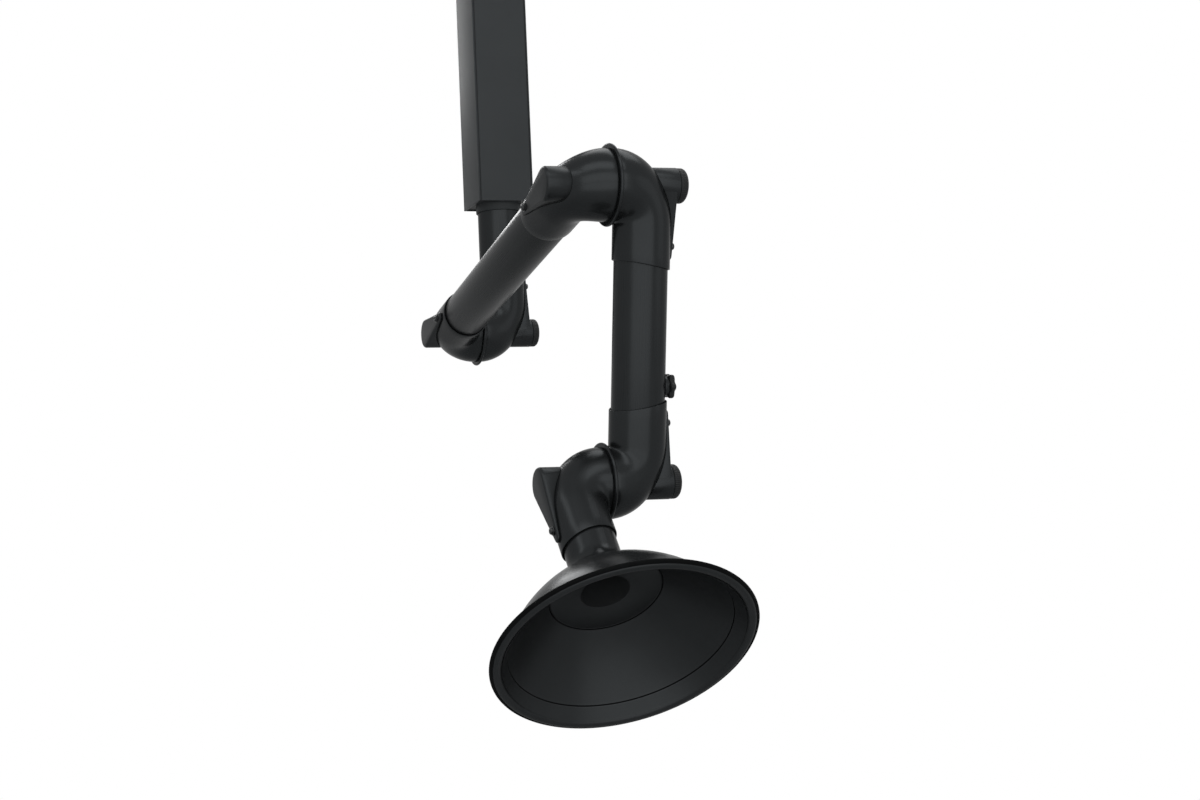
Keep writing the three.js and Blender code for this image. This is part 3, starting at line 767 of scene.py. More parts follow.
# %% Duct lengths
TUBE_RADIUS = 37.5
BORE_RADIUS = 35.5
TUBE_STOP = 62
BEAD_DROP = 8
BEAD_HALF = 2.4
BEAD_HEIGHT = 1.1
BEAD_ROOT = TUBE_RADIUS - 0.2
FLANGE_RADIUS = TUBE_RADIUS + 4.5
FLANGE_THICKNESS = 3


def duct(low, high):
    return sleeve(BORE_RADIUS, TUBE_RADIUS, low, high, (0.4, 0.5, 0.5, 0.4))


riser_low, riser_high = (corner.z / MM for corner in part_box("riser_pipe"))
bead_middle = riser_high - BEAD_DROP
spigot_bead = [(BEAD_ROOT, bead_middle - 2)]
for angle in even(0, pi, 8):
    along = bead_middle - BEAD_HALF * cos(angle)
    spigot_bead.append((TUBE_RADIUS + BEAD_HEIGHT * sin(angle), along))
spigot_bead.append((BEAD_ROOT, bead_middle + 3))
piece("riser_pipe", joined(duct(riser_low, riser_high), turned(spigot_bead)), HERE, "anodised_tube")

upper_low, upper_high = (corner.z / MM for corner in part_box("upper_tube"))
upper = turned(rounded([
    (BORE_RADIUS, upper_low, 0.4),
    (TUBE_RADIUS, upper_low, 0.5),
    (TUBE_RADIUS, upper_high - FLANGE_THICKNESS, 0),
    (FLANGE_RADIUS, upper_high - FLANGE_THICKNESS, 0.5),
    (FLANGE_RADIUS, upper_high, 0.5),
    (BORE_RADIUS, upper_high, 0.4),
]))
piece("upper_tube", upper, HERE, "anodised_tube")
for node, place, length, side in (
    ("first_arm_tube", LEFT_SEATS["shoulder"], first_arm_length, -1),
    ("second_arm_tube", RIGHT_SEATS["middle"], second_arm_length, 1),
):
    shape = duct(TUBE_STOP + FIT - length, -TUBE_STOP - FIT)
    piece(node, shape, beside(place, side), "anodised_tube")
print("ducts", made("tube") + made("pipe"))

# %% [markdown]
# Inside the column's foot a ribbed rubber seal closes the gap round the riser, and the pale bush
# carries the flange of the swivelling tube. Nobody sees them on the finished arm, but whoever
# takes it apart will, so they are turned like the rest.

# %% Seal and bush
SEAL_RIBS = 3
SEAL_STEPS = 24
cup_fit = CUP_RADIUS - FIT
seal_low, seal_high = (corner.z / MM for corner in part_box("riser_seal"))
seal_section = [(SLEEVE_RADIUS, seal_low), (SLEEVE_RADIUS, seal_high)]
for along in even(0, 1, SEAL_STEPS):
    wave = 0.5 - 0.5 * cos(along * 2 * SEAL_RIBS * pi)
    seal_section.append((cup_fit - 1 + wave, seal_high + (seal_low - seal_high) * along))
piece("riser_seal", turned(seal_section), HERE, "rubber")
bush_low, bush_high = (corner.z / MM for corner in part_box("swivel_bush"))
bush = sleeve(BEARING_RADIUS, cup_fit, bush_low, bush_high, (0.3, 0.3, 0.6, 0.6))
piece("swivel_bush", bush, HERE, "bearing_plastic")
print("seal ribs", SEAL_RIBS, "bush", round(bush_high - bush_low, 1), "mm high")

# %% [markdown]
# ## Joints
# A joint is two pipe bends face to face. Each bend starts at the seam as a wide circle and turns
# a quarter while it narrows to the collar that takes the tube. Blender's curves could sweep a
# circle along a path, but here the circle changes size on the way, so the rings are placed by
# formula: the ring's plane turns about a pivot below the seam.

# %% Rings of a bend
QUARTER = pi / 2
SEAM_START = 3.3
SEAM_RADIUS = 51
SEAM_WALL = 5
BEND_DROP = 56
BEND_FACETS = 96
COLLAR_RADIUS = 40.3
bend_reach = JOINT_OFFSET - SEAM_START
seam_bore = SEAM_RADIUS - SEAM_WALL


def bend_ring(angle, radius, reach):
    out = Vector((sin(angle), 0, cos(angle)))
    centre = Vector((SEAM_START, 0, -BEND_DROP)) + out * reach
    side = Vector((0, 1, 0))
    return [centre + out * (radius * c) + side * (radius * s) for c, s in around(BEND_FACETS)]


def bend_row(angle, seam_radius, end_radius):
    """A ring of the bend: the radius eases from the seam to the collar, and so does the reach."""
    share = cos(angle)
    radius = end_radius + (seam_radius - end_radius) * share ** 3
    return bend_ring(angle, radius, bend_reach + (BEND_DROP - bend_reach) * share ** 2)


def collar_row(radius, drop, slope):
    """A ring round the tube below the bend, cut at a slope across the joint."""
    ring = bend_ring(QUARTER, radius, bend_reach)
    return [Vector((p.x, p.y, -drop - slope * (p.x - JOINT_OFFSET))) for p in ring]


print("points in a ring", len(collar_row(COLLAR_RADIUS, BEND_DROP, 0)))

# %% [markdown]
# The collar ends in a slanting cut where the tube comes out. Its mouth is opened a little, so
# that a fine dark line shows all round the tube, as it does where a moulded socket meets a duct.
# The rows run in one loop: seam, outside, collar, mouth, socket, stop, air passage, seam.

# %% Bend
BEND_STEPS = 24
PASSAGE_STEPS = 12
SEAM_EDGE_TURN = 0.018
COLLAR_END = 110
COLLAR_SLOPE = 0.18


def bend_outside():
    rows = []
    for angle, inset in ((0, 1.0), (0.006, 0.3)):
        rows.append(bend_row(angle, SEAM_RADIUS - inset, COLLAR_RADIUS))
    for angle in even(SEAM_EDGE_TURN, QUARTER, BEND_STEPS):
        rows.append(bend_row(angle, SEAM_RADIUS, COLLAR_RADIUS))
    for drop in (66, 80, 95, COLLAR_END - 1.0):
        slope = COLLAR_SLOPE * (drop - BEND_DROP) / (COLLAR_END - BEND_DROP)
        rows.append(collar_row(COLLAR_RADIUS, drop, slope))
    return rows


def bend_shape():
    rows = bend_outside()
    for inset, rise in ((0.1, 0.5), (0.35, 0.15), (0.8, 0.0), (1.5, 0.0)):
        rows.append(collar_row(COLLAR_RADIUS - inset, COLLAR_END - rise, COLLAR_SLOPE))
    for gap, rise in ((0.7, 0.6), (0, 4)):
        rows.append(collar_row(SLEEVE_RADIUS + gap, COLLAR_END - rise, COLLAR_SLOPE))
    rows.append(collar_row(SLEEVE_RADIUS, TUBE_STOP, 0))
    rows += [bend_row(angle, seam_bore, BORE_RADIUS) for angle in even(QUARTER, 0, PASSAGE_STEPS)]
    return skin(rows, loop=True)


def at_joints(slot, *kinds, finish=None):
    """The same pieces in each of the three joints; a kind is an ending, a shape and its seats."""
    for joint in RIGHT_SEATS:
        for ending, shape, seats in kinds:
            piece(joint + ending, shape, seats[joint], slot, finish=finish)


bend = bend_shape()
right_bends = ("_right_bend", bend, RIGHT_SEATS)
at_joints("moulded_plastic", right_bends, ("_left_bend", mirrored(bend), LEFT_SEATS))
print("bends", made("bend"))

# %% [markdown]
# The ring between the bends is a hard rubber gasket that turns with one of them. It stands proud
# as a rounded bead, and beside the bead runs a thin lip with a dark groove between the two. In
# the reference view it shines like the bends, so it gets their finish instead of matt rubber.

# %% Seam rings
RING_SIDE = 3.0
RING_CROWN = SEAM_RADIUS + 6.4
RING_CROWN_END = 1.6
RING_GROOVE = SEAM_RADIUS + 0.8
RING_LIP = SEAM_RADIUS + 2.2
RING_LIP_START = 2.2
seam_ring = turned_x(rounded([
    (seam_bore, -RING_SIDE, 0.4),
    (RING_CROWN, -RING_SIDE, 2.3),
    (RING_CROWN, RING_CROWN_END, 2.3),
    (RING_GROOVE, RING_CROWN_END, 0.2),
    (RING_GROOVE, RING_LIP_START, 0.2),
    (RING_LIP, RING_LIP_START, 0.25),
    (RING_LIP, RING_SIDE, 0.25),
    (seam_bore, RING_SIDE, 0.4),
], 8), 128)
seam_rings = ("_seam_ring", seam_ring, RIGHT_SEATS)
at_joints("rubber", seam_rings, finish=FINISH["moulded_plastic"])
print("seam rings", made("seam_ring"))

# %% [markdown]
# A bracket is screwed outside each bend: a barrel round the hinge axis, and a strap that tapers
# down along the collar to one small screw. Its inner face follows the bend. To find that face,
# rays are shot at the outside of the bend along X, which is quick with a BVH tree. A bracket
# drawn a little clear of the bend, with its foot rolled in, leaves the thin dark contact line.

# %% Finding the bend under a bracket
CONTACT_GAP = 0.35
STEEPEST = 0.35
RAY_START = 200
outside_points, outside_faces = skin(bend_outside(), ends=False)
bend_tree = BVHTree.FromPolygons(outside_points, outside_faces)


def on_bend(y, z):
    """How far out along X the bend lies under a point of the bracket's outline."""
    hit, normal, _, _ = bend_tree.ray_cast(Vector((RAY_START, y, z)), Vector((-1, 0, 0)))
    return hit.x + CONTACT_GAP / max(abs(normal.x), STEEPEST)


print("bend at the axis", round(on_bend(0, 0), 1), "mm from the seam")

# %% [markdown]
# The barrel's outline is a circle. The strap's outline is a belt round a large and a small
# circle, and a belt set in by some amount is just the belt round two smaller circles.

# %% Outlines of barrel and strap
BARREL_RADIUS = 25
STRAP_LENGTH = 96
STRAP_TIP_RADIUS = 7
STRAP_INSET = 0.4
STRAP_STEPS = 24


def barrel_outline(inset):
    return [((BARREL_RADIUS - inset) * c, (BARREL_RADIUS - inset) * s) for c, s in around(112)]


def arc(radius, drop, turns):
    """Points of a circle whose middle lies some way below the hinge axis."""
    return [(radius * cos(turn), radius * sin(turn) - drop) for turn in turns]


def span(start, end):
    """Points on the straight line between two points, without these."""
    return list(zip(*(even(a, b, STRAP_STEPS)[1:-1] for a, b in zip(start, end))))


def strap_outline(inset, radius=BARREL_RADIUS - STRAP_INSET):
    large = radius - inset
    small = STRAP_TIP_RADIUS - inset
    lean = asin((large - small) / STRAP_LENGTH)
    top = arc(large, 0, even(-lean, pi + lean, 32))
    tip = arc(small, STRAP_LENGTH, even(pi + lean, 2 * pi - lean, STRAP_STEPS))
    return top + span(top[-1], tip[0]) + tip + span(tip[-1], top[0])


print("belt points", len(strap_outline(0)))

# %% [markdown]
# Barrel and strap are both walls that stand on the bend: a foot that rolls in, a straight wall,
# a rounded edge and a flat top. Only the outline and the height of the top differ, so one
# function makes both.

# %% Walls that stand on the bend
EDGE_STEPS = 6
EDGE_SHARE = 0.45


def wall_on_bend(outline, face_at, edge, flare=None):
    """A wall from the bend out to face_at(y, z), with its outer edge rounded."""
    full = outline(0)
    feet = [on_bend(y, z) for y, z in full]
    heights = [face_at(y, z) - foot for (y, z), foot in zip(full, feet)]
    roundings = [min(edge, EDGE_SHARE * height) for height in heights]
    rings = []
    for inset in (6.0, 3.0, 1.3):
        rings.append([Vector((on_bend(y, z), y, z)) for y, z in outline(inset)])
    for inset, lift in ((0.4, 0.3), (0.0, 0.9)):
        rings.append([Vector((foot + lift, y, z)) for (y, z), foot in zip(outline(inset), feet)])
    if flare:
        rings.extend(flare(full))
    for angle in even(0, QUARTER, EDGE_STEPS):
        ring = []
        for (y, z), rounding in zip(outline(edge * (1 - cos(angle))), roundings):
            ring.append(Vector((face_at(y, z) - rounding * (1 - sin(angle)), y, z)))
        rings.append(ring)
    return skin(rings)


print("rounded edge in", EDGE_STEPS, "steps")

# %% [markdown]
# On the right the strap's face is level and a little lower than the barrel, with a small hollow
# fillet between them. On the left the barrel is closed, and its crowned end runs on into the
# strap in one slope down to the tip, so a single wall with a wide rounded edge makes the whole
# bracket.

# %% Brackets
BARREL_REACH = 98
BARREL_EDGE = 0.9
STRAP_FACE = 93.5
STRAP_EDGE = 1.4
GUSSET_EDGE = 4.0
GUSSET_TIP = 94.4
GUSSET_CROWN = 2.0
FILLET = 3.0
FILLET_START = 0.72
FILLET_SPREAD = 0.14


def sloping_face(y, z):
    slope = (BARREL_REACH - GUSSET_TIP) * max(0.0, -z) / STRAP_LENGTH
    crown = GUSSET_CROWN * (y * y + max(0.0, z) ** 2) / BARREL_RADIUS ** 2
    return BARREL_REACH - slope - crown


def strap_fillet(full):
    """Rows that swell the barrel's wall towards the strap in a hollow curve."""
    rings = []
    for rise in (-0.4, 0.0, 0.4, 0.9, 1.6, 2.3, FILLET):
        hollow = FILLET - sqrt(FILLET ** 2 - (FILLET - max(rise, 0.0)) ** 2)
        ring = []
        for y, z in full:
            towards = -z / BARREL_RADIUS
            share = min(1.0, max(0.0, (towards - FILLET_START) / FILLET_SPREAD))
            grow = 1 + hollow * share / BARREL_RADIUS
            ring.append(Vector((STRAP_FACE + rise, y * grow, z * grow)))
        rings.append(ring)
    return rings


def gusset_outline(inset):
    return strap_outline(inset, BARREL_RADIUS)


right_bracket = joined(
    wall_on_bend(strap_outline, lambda y, z: STRAP_FACE, STRAP_EDGE),
    wall_on_bend(barrel_outline, lambda y, z: BARREL_REACH, BARREL_EDGE, strap_fillet),
)
left_bracket = mirrored(wall_on_bend(gusset_outline, sloping_face, GUSSET_EDGE))
right_brackets = ("_right_bracket", right_bracket, RIGHT_SEATS)
left_brackets = ("_left_bracket", left_bracket, LEFT_SEATS)
at_joints("moulded_plastic", right_brackets, left_brackets, finish=satin_finish)
print("bracket points", len(right_bracket[0]), len(left_bracket[0]))

# %% [markdown]
# The tension knob is a ribbed cap with a domed end, nearly flush with the barrel. Each ring of
# its skin is a circle whose radius waves in and out. The ribs fade out over the dome, where the
# moulding runs smooth, and the edge next to the barrel is cut back for the dark gap.

# %% Tension knobs
KNOB_RADIUS = 24.6
KNOB_THICKNESS = 12.5
KNOB_PLUG_RADIUS = 11.8
KNOB_DOME = 6
DOME_STEPS = 8
KNOB_RIBS = 52
POINTS_PER_RIB = 6
KNOB_RIB_DEPTH = 0.55


def knob_ring(x, radius, depth):
    waves = [0.5 - 0.5 * c for c, s in around(POINTS_PER_RIB)]
    return ring_x(x, [radius - depth * wave ** 1.5 for wave in waves] * KNOB_RIBS)


def knob_shape():
    face = BARREL_REACH + FIT
    end = face + KNOB_THICKNESS
    rows = [(face - 2, KNOB_PLUG_RADIUS, 0), (face + 0.2, KNOB_PLUG_RADIUS, 0)]
    for lift, inset, ribs in ((0.2, 2.2, 0), (0.3, 1.1, 0), (0.7, 0.4, 0.2), (1.3, 0, 0.8)):
        rows.append((face + lift, KNOB_RADIUS - inset, ribs))
    for k, angle in enumerate(even(0, QUARTER, DOME_STEPS)):
        x = end - KNOB_DOME * (1 - sin(angle))
        radius = KNOB_RADIUS - KNOB_DOME * (1 - cos(angle))
        rows.append((x, radius, max(0.0, 1 - k / 6)))
    for lift, radius in ((0.2, 16.5), (0.3, 14.0), (-0.1, 13.2), (-0.1, 6.0)):
        rows.append((end + lift, radius, 0))
    return skin([knob_ring(x, radius, KNOB_RIB_DEPTH * ribs) for x, radius, ribs in rows])


at_joints("ribbed_plastic", ("_tension_knob", knob_shape(), RIGHT_SEATS))
print("knobs", made("tension_knob"))

# %% [markdown]
# Button-head screws hold the straps, the column and the housing. Under the head lies a washer, and
# the head is a low dome with a hexagon socket. All rings have the same number of points: a hexagon
# is a circle whose radius is divided by a cosine, so the round dome can run straight into the
# six-sided hole.

# %% Screws
SCREW_FACETS = 48
SIXTH = pi / 3
SHANK_RADIUS = 2.0
WASHER_RADIUS = 6.3
HEAD_RADIUS = 5.0
HEAD_HEIGHT = 4.8
HEAD_DOME = 2.5
KEY_RADIUS = 1.65


def socket_ring(x, radius, hexagon):
    """A ring of a screw: a circle, or a hexagon whose sides lie at the radius."""
    if not hexagon:
        return ring_x(x, [radius] * SCREW_FACETS)
    side = even(-SIXTH / 2, SIXTH / 2, SCREW_FACETS // 6)[:-1]
    return ring_x(x, [radius / cos(turn) for turn in side] * 6)


def screw_shape(shank):
    """A screw along X with its washer and head standing out from x = 0."""
    rows = [(-shank, 0.2, 0), (-shank, SHANK_RADIUS - 0.5, 0), (-shank + 0.5, SHANK_RADIUS, 0)]
    rows.append((FIT, SHANK_RADIUS, 0))
    for lift, inset in ((0, 0.2), (0.2, 0), (0.9, 0), (1.1, 0.2)):
        rows.append((FIT + lift, WASHER_RADIUS - inset, 0))
    for lift, inset in ((1.1, 0.5), (1.4, 0.1), (2.0, 0)):
        rows.append((FIT + lift, HEAD_RADIUS - inset, 0))
    top = FIT + HEAD_HEIGHT
    for angle in even(0, QUARTER, 7)[1:-1]:
        x = top - HEAD_DOME * (1 - sin(angle))
        rows.append((x, HEAD_RADIUS - HEAD_DOME * (1 - cos(angle)), 0))
    rows += [(top, 2.2, 0), (top - 0.05, KEY_RADIUS + 0.1, 1), (top - 0.2, KEY_RADIUS, 1)]
    rows += [(top - 2.4, KEY_RADIUS, 1), (top - 2.8, 0.1, 0)]
    return skin([socket_ring(*row) for row in rows])


STRAP_SCREW_DROP = 84
shank_end = JOINT_OFFSET + BORE_RADIUS - 1


def strap_screw(face):
    return moved(screw_shape(face - shank_end), face, 0, -STRAP_SCREW_DROP)


left_screw = mirrored(strap_screw(sloping_face(0, -STRAP_SCREW_DROP)))
right_screws = ("_right_screw", strap_screw(STRAP_FACE), RIGHT_SEATS)
at_joints("black_steel", right_screws, ("_left_screw", left_screw, LEFT_SEATS))
print("strap screws", made("screw"))

# %% [markdown]
# The same screw, with other shanks, holds the column to its socket from both sides, and the
# housing in the column's foot from behind.

# %% Screws of the column
HOUSING_SCREW_SPACING = 60
socket_z = column_top - SOCKET_HEIGHT / 2
side_screw = moved(screw_shape(COLUMN_WALL + FIT + SOCKET_WALL), column_half, 0, socket_z)
piece("socket_screw_right", side_screw, HERE, "black_steel")
piece("socket_screw_left", mirrored(side_screw), HERE, "black_steel")
housing_z = (flange_low + flange_high) / 2
back_screw = screw_shape(COLUMN_WALL + FIT + HOUSING_FLANGE)
facing_back = Matrix.Rotation(pi / 2, 4, "Z")
for name, side in (("right", 1), ("left", -1)):
    spot = Vector((side * HOUSING_SCREW_SPACING / 2, column_half, housing_z)) * MM
    place = Matrix.Translation(spot) @ facing_back
    piece("housing_screw_" + name, back_screw, place, "black_steel")
print("screws", made("screw") + made("screw_right") + made("screw_left"))

# %% [markdown]
# Inside each joint a steel spindle runs along the hinge axis. Its head sits in the closed left
# barrel and its thread in the knob, with a cupped disc spring between knob and barrel. The turned
# section stops a hair's breadth from the axis, so that every ring keeps its points.

# %% Spindles and springs
NEAR_AXIS = 0.05
BOSS_REACH = 84
SPINDLE_RADIUS = 4
SPINDLE_HEAD_RADIUS = 9
SPINDLE_HEAD = 6
POCKET_DEPTH = 9
SPRING_RADIUS = 12.5
SPRING_THICKNESS = 1.6
SPRING_CUP = 1.4
spindle_end = BARREL_REACH + KNOB_THICKNESS / 2
head_face = -(BOSS_REACH + FIT)
head_end = head_face - SPINDLE_HEAD
spindle = turned_x(rounded([
    (SPINDLE_HEAD_RADIUS, head_end, 1.0),
    (SPINDLE_HEAD_RADIUS, head_face, 0.6),
    (SPINDLE_RADIUS, head_face, 0.4),
    (SPINDLE_RADIUS, spindle_end, 0.6),
    (NEAR_AXIS, spindle_end, 0),
    (NEAR_AXIS, head_end, 0),
]), 48)
spring_low = BARREL_REACH - POCKET_DEPTH + FIT
spring_hole = SPINDLE_RADIUS + 0.5
spring = turned_x(rounded([
    (spring_hole, spring_low + SPRING_CUP, 0.3),
    (SPRING_RADIUS, spring_low, 0.3),
    (SPRING_RADIUS, spring_low + SPRING_THICKNESS, 0.3),
    (spring_hole, spring_low + SPRING_CUP + SPRING_THICKNESS, 0.3),
]), 64)
spindles = ("_spindle", spindle, LEFT_SEATS)
at_joints("bright_steel", spindles, ("_disc_spring", spring, RIGHT_SEATS))
print("spindle", round(spindle_end - head_end), "mm")

# %% [markdown]
# ## Damper
# A star knob on the second arm turns a plate inside the tube and sets the draught. The round base
# under the knob has a foot that follows the tube: every point of its lowest ring is dropped
# onto the circle of the tube.

# %% Damper base
DAMPER_FACETS = 96
DAMPER_BASE_RADIUS = 14.5
DAMPER_HOLE_RADIUS = 4.5
DAMPER_SEAT = TUBE_RADIUS + 4.5
damper_seat = seat(Vector((0, damper.y, damper.z)), second_arm_lead)


def saddle_ring(radius, lift):
    ring = []
    for c, s in around(DAMPER_FACETS):
        y = radius * c
        ring.append(Vector((sqrt(SLEEVE_RADIUS ** 2 - y * y) + lift, y, radius * s)))
    return ring


base_rows = [saddle_ring(DAMPER_HOLE_RADIUS, 0), saddle_ring(DAMPER_BASE_RADIUS - 0.6, 0)]
base_rows.append(saddle_ring(DAMPER_BASE_RADIUS, 0.6))
for inset, drop in ((0, 1.2), (0.4, 0.4), (1.2, 0), (DAMPER_BASE_RADIUS - DAMPER_HOLE_RADIUS, 0)):
    base_rows.append(ring_x(DAMPER_SEAT - drop, [DAMPER_BASE_RADIUS - inset] * DAMPER_FACETS))
piece("damper_base", skin(base_rows, loop=True), damper_seat, "moulded_plastic")
print("damper base", 2 * DAMPER_BASE_RADIUS, "mm across")

# %% [markdown]
# The star knob is one skin as well. Its rings wave in and out six times, and the waves fade
# towards the middle of its face, which is slightly sunk.

# %% Damper knob
DAMPER_KNOB_THICKNESS = 8.5
STAR_LOBES = 6
POINTS_PER_LOBE = 24
STAR_RADIUS = 16.6
STAR_WAVE = 2.0


def lobe_ring(x, inset, share):
    waves = [c for c, s in around(POINTS_PER_LOBE)] * STAR_LOBES
    return ring_x(x, [STAR_RADIUS + STAR_WAVE * share * wave - inset for wave in waves])


face = DAMPER_SEAT + FIT
end = face + DAMPER_KNOB_THICKNESS
star_rows = [(face, 12, 0), (face, 3.4, 0.8), (face + 0.4, 1.2, 1), (face + 1.3, 0.3, 1)]
star_rows += [(face + 2.4, 0, 1), (end - 3.0, 0, 1), (end - 1.5, 0.5, 1), (end - 0.5, 1.6, 0.9)]
star_rows += [(end, 3.4, 0.7), (end + 0.1, 6, 0.3), (end + 0.15, 8, 0)]
star_rows += [(end - 0.3, 8.8, 0), (end - 0.3, 16.4, 0)]
star = skin([lobe_ring(*row) for row in star_rows])
piece("damper_knob", star, damper_seat, "ribbed_plastic")
print("damper knob", round(2 * (STAR_RADIUS + STAR_WAVE)), "mm across")

# %% [markdown]
# Inside the tube the shaft is milled flat, so that the round plate can lie on the flat. A ring
# becomes flat on one side when its points are not let past the middle.

# %% Damper shaft and plate
SHAFT_RADIUS = 4
SHAFT_EDGE = 0.6
FLAT_END = BORE_RADIUS - 0.7
PLATE_SHEET = 2
shaft_end = DAMPER_SEAT + DAMPER_KNOB_THICKNESS / 2
shaft_start = -BORE_RADIUS - 0.8


def shaft_ring(x, cut=0, highest=SHAFT_RADIUS):
    ring = ring_x(x, [SHAFT_RADIUS - cut] * 48)
    return [Vector((p.x, min(p.y, highest), p.z)) for p in ring]


shaft_rows = [shaft_ring(shaft_start, SHAFT_EDGE), shaft_ring(shaft_start + SHAFT_EDGE)]
shaft_rows += [shaft_ring(-FLAT_END - 0.1), shaft_ring(-FLAT_END, highest=0)]
shaft_rows += [shaft_ring(FLAT_END, highest=0), shaft_ring(FLAT_END + 0.1)]
shaft_rows += [shaft_ring(shaft_end - SHAFT_EDGE), shaft_ring(shaft_end, SHAFT_EDGE)]
piece("damper_shaft", skin(shaft_rows), damper_seat, "bright_steel")
plate_radius = BORE_RADIUS - 1
points, faces = sleeve(NEAR_AXIS, plate_radius, FIT, FIT + PLATE_SHEET, (0, 0.5, 0.5, 0))
on_flat = Matrix.Rotation(-pi / 2, 4, "X")
piece("damper_plate", ([on_flat @ p for p in points], faces), damper_seat, "bright_steel")
print("damper plate", round(2 * plate_radius), "mm")

# %% [markdown]
# ## Hood
# The hood is a moulded bell: a neck that fits the wrist's collar, a hollow fillet and a flare
# that bulges slightly outwards. Fillet and flare are circular arcs that share a tangent. A line
# inside the wall is the same pair of arcs with other radii, so one function with a depth gives
# the outside, the inside, the edge of the throat plate and the rim's skirt.

# %% Lines of the hood
HOOD_RADIUS = 177
HOOD_WALL = 2
NECK_RADIUS = 37.1
NECK_END = 137.8
FILLET_RADIUS = 50
FLARE_START = radians(56)
FLARE_END = radians(34)
MOUTH_INSET = 13
MOUTH_TO_FACE = 4
HOOD_STEPS = 14
mouth_radius = HOOD_RADIUS - MOUTH_INSET
fillet_out = NECK_RADIUS + FILLET_RADIUS * (1 - cos(FLARE_START))
flare_radius = (mouth_radius - fillet_out) / (cos(FLARE_END) - cos(FLARE_START))
mouth_drop = NECK_END + FILLET_RADIUS * sin(FLARE_START)
mouth_drop += flare_radius * (sin(FLARE_START) - sin(FLARE_END))
hood_reach = mouth_drop + MOUTH_TO_FACE


def polar(radius, angle):
    return Vector((radius * cos(angle), radius * sin(angle)))


fillet_centre = Vector((NECK_RADIUS + FILLET_RADIUS, -NECK_END))
flare_centre = Vector((mouth_radius, -mouth_drop)) - polar(flare_radius, FLARE_END)


def fillet_point(angle, depth):
    return fillet_centre - polar(FILLET_RADIUS + depth, angle)


def flare_point(angle, depth):
    return flare_centre + polar(flare_radius - depth, angle)


def flare_line(start, end, steps, depth):
    """Points down the flare, without the first angle and with the last."""
    return [flare_point(angle, depth) for angle in even(start, end, steps)[1:]]


def flare_angle_at(radius, depth):
    return acos((radius - flare_centre.x) / (flare_radius - depth))


def hood_line(depth, top, end_angle):
    """Points down the wall at a depth, from a height on the neck to an angle of the flare."""
    line = [Vector((NECK_RADIUS - depth, -drop)) for drop in (top, (NECK_END + top) / 2)]
    line += [fillet_point(angle, depth) for angle in even(0, FLARE_START, HOOD_STEPS)]
    return line + flare_line(FLARE_START, end_angle, HOOD_STEPS, depth)


print("hood reach", round(hood_reach, 1), "mm, across", 2 * HOOD_RADIUS)

# %% [markdown]
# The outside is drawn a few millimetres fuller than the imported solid, because the reference view
# shows a rounder shoulder. Inside, the throat plate and the rim each meet the wall at a fine
# groove, which is cut into the wall's section.

# %% Section of the bell
HOOD_BULGE = 6.5
RIM_WIDTH = 14
THROAT_PLATE = 76
GROOVE = 1.8
hood_top = TUBE_STOP + FIT
rim_line_radius = mouth_radius - RIM_WIDTH
plate_angle = flare_angle_at(THROAT_PLATE, HOOD_WALL)
rim_angle = flare_angle_at(rim_line_radius, HOOD_WALL)
groove_turn = GROOVE / flare_radius


def groove_points(start, end):
    floor_depth = HOOD_WALL - GROOVE
    rows = ((start, HOOD_WALL), (start, floor_depth), (end, floor_depth), (end, HOOD_WALL))
    return [flare_point(angle, depth) for angle, depth in rows]


def swollen(line):
    """The line moved outwards, most of all past its middle and not at its ends."""
    last = len(line) - 1
    fuller = list(line)
    for k in range(1, last):
        along = (line[k + 1] - line[k - 1]).normalized()
        swell = HOOD_BULGE * sin(pi * (k / last) ** 2) ** 1.2
        fuller[k] = line[k] + Vector((-along.y, along.x)) * swell
    return fuller


outside = hood_line(0, hood_top, FLARE_END)
outside = outside[:2] + swollen(outside[2:])
inside = hood_line(HOOD_WALL, hood_top, plate_angle)
inside += groove_points(plate_angle, plate_angle - groove_turn)
inside += flare_line(plate_angle - groove_turn, rim_angle, 12, HOOD_WALL)[:-1]
inside += groove_points(rim_angle + groove_turn, rim_angle)
inside += flare_line(rim_angle, FLARE_END, 6, HOOD_WALL)
print("points in the bell's section", len(outside) + len(inside))

# %% [markdown]
# The bell is glossy outside and satin inside. The faces in the grooves get the dead black of the
# bead as painted shade, so that these lines stay dark in any light. Each face is told which finish
# it has by its place in the wall.

# %% Hood bell
HOOD_FACETS = 176
NEAR_GROOVE = 4
hood_seat = beside(LEFT_SEATS["wrist"], -1)
shape = turned(outside + inside[::-1], HOOD_FACETS)
bell = piece("hood_bell", shape, hood_seat, "moulded_plastic", "hood_neck_pipe", finish=satin_finish)
# The second finish is the bead's black, painted into the grooves as shade.
bell.data.materials.append(bead_black_and_painted_shade)
bell.data.materials.append(FINISH["moulded_plastic"])
for face in bell.data.polygons:
    x, y, z = face.center / MM
    spot = Vector((hypot(x, y), z))
    sunk = flare_radius - (spot - flare_centre).length
    off_groove = min(abs(spot.x - THROAT_PLATE), abs(spot.x - rim_line_radius))
    # Faces in a groove get painted shade: the bead's dead black.
    if off_groove < NEAR_GROOVE and 0.1 < sunk < HOOD_WALL - 0.1:
        face.material_index = 1
    elif face.index < (len(outside) - 1) * HOOD_FACETS:
        face.material_index = 2
print("bell faces", len(bell.data.polygons))

# %% [markdown]
# The throat is a short pipe in the neck that spreads into a shallow cone, the plate with the
# round hole that is seen inside the mouth. Its inner wall is dusty.

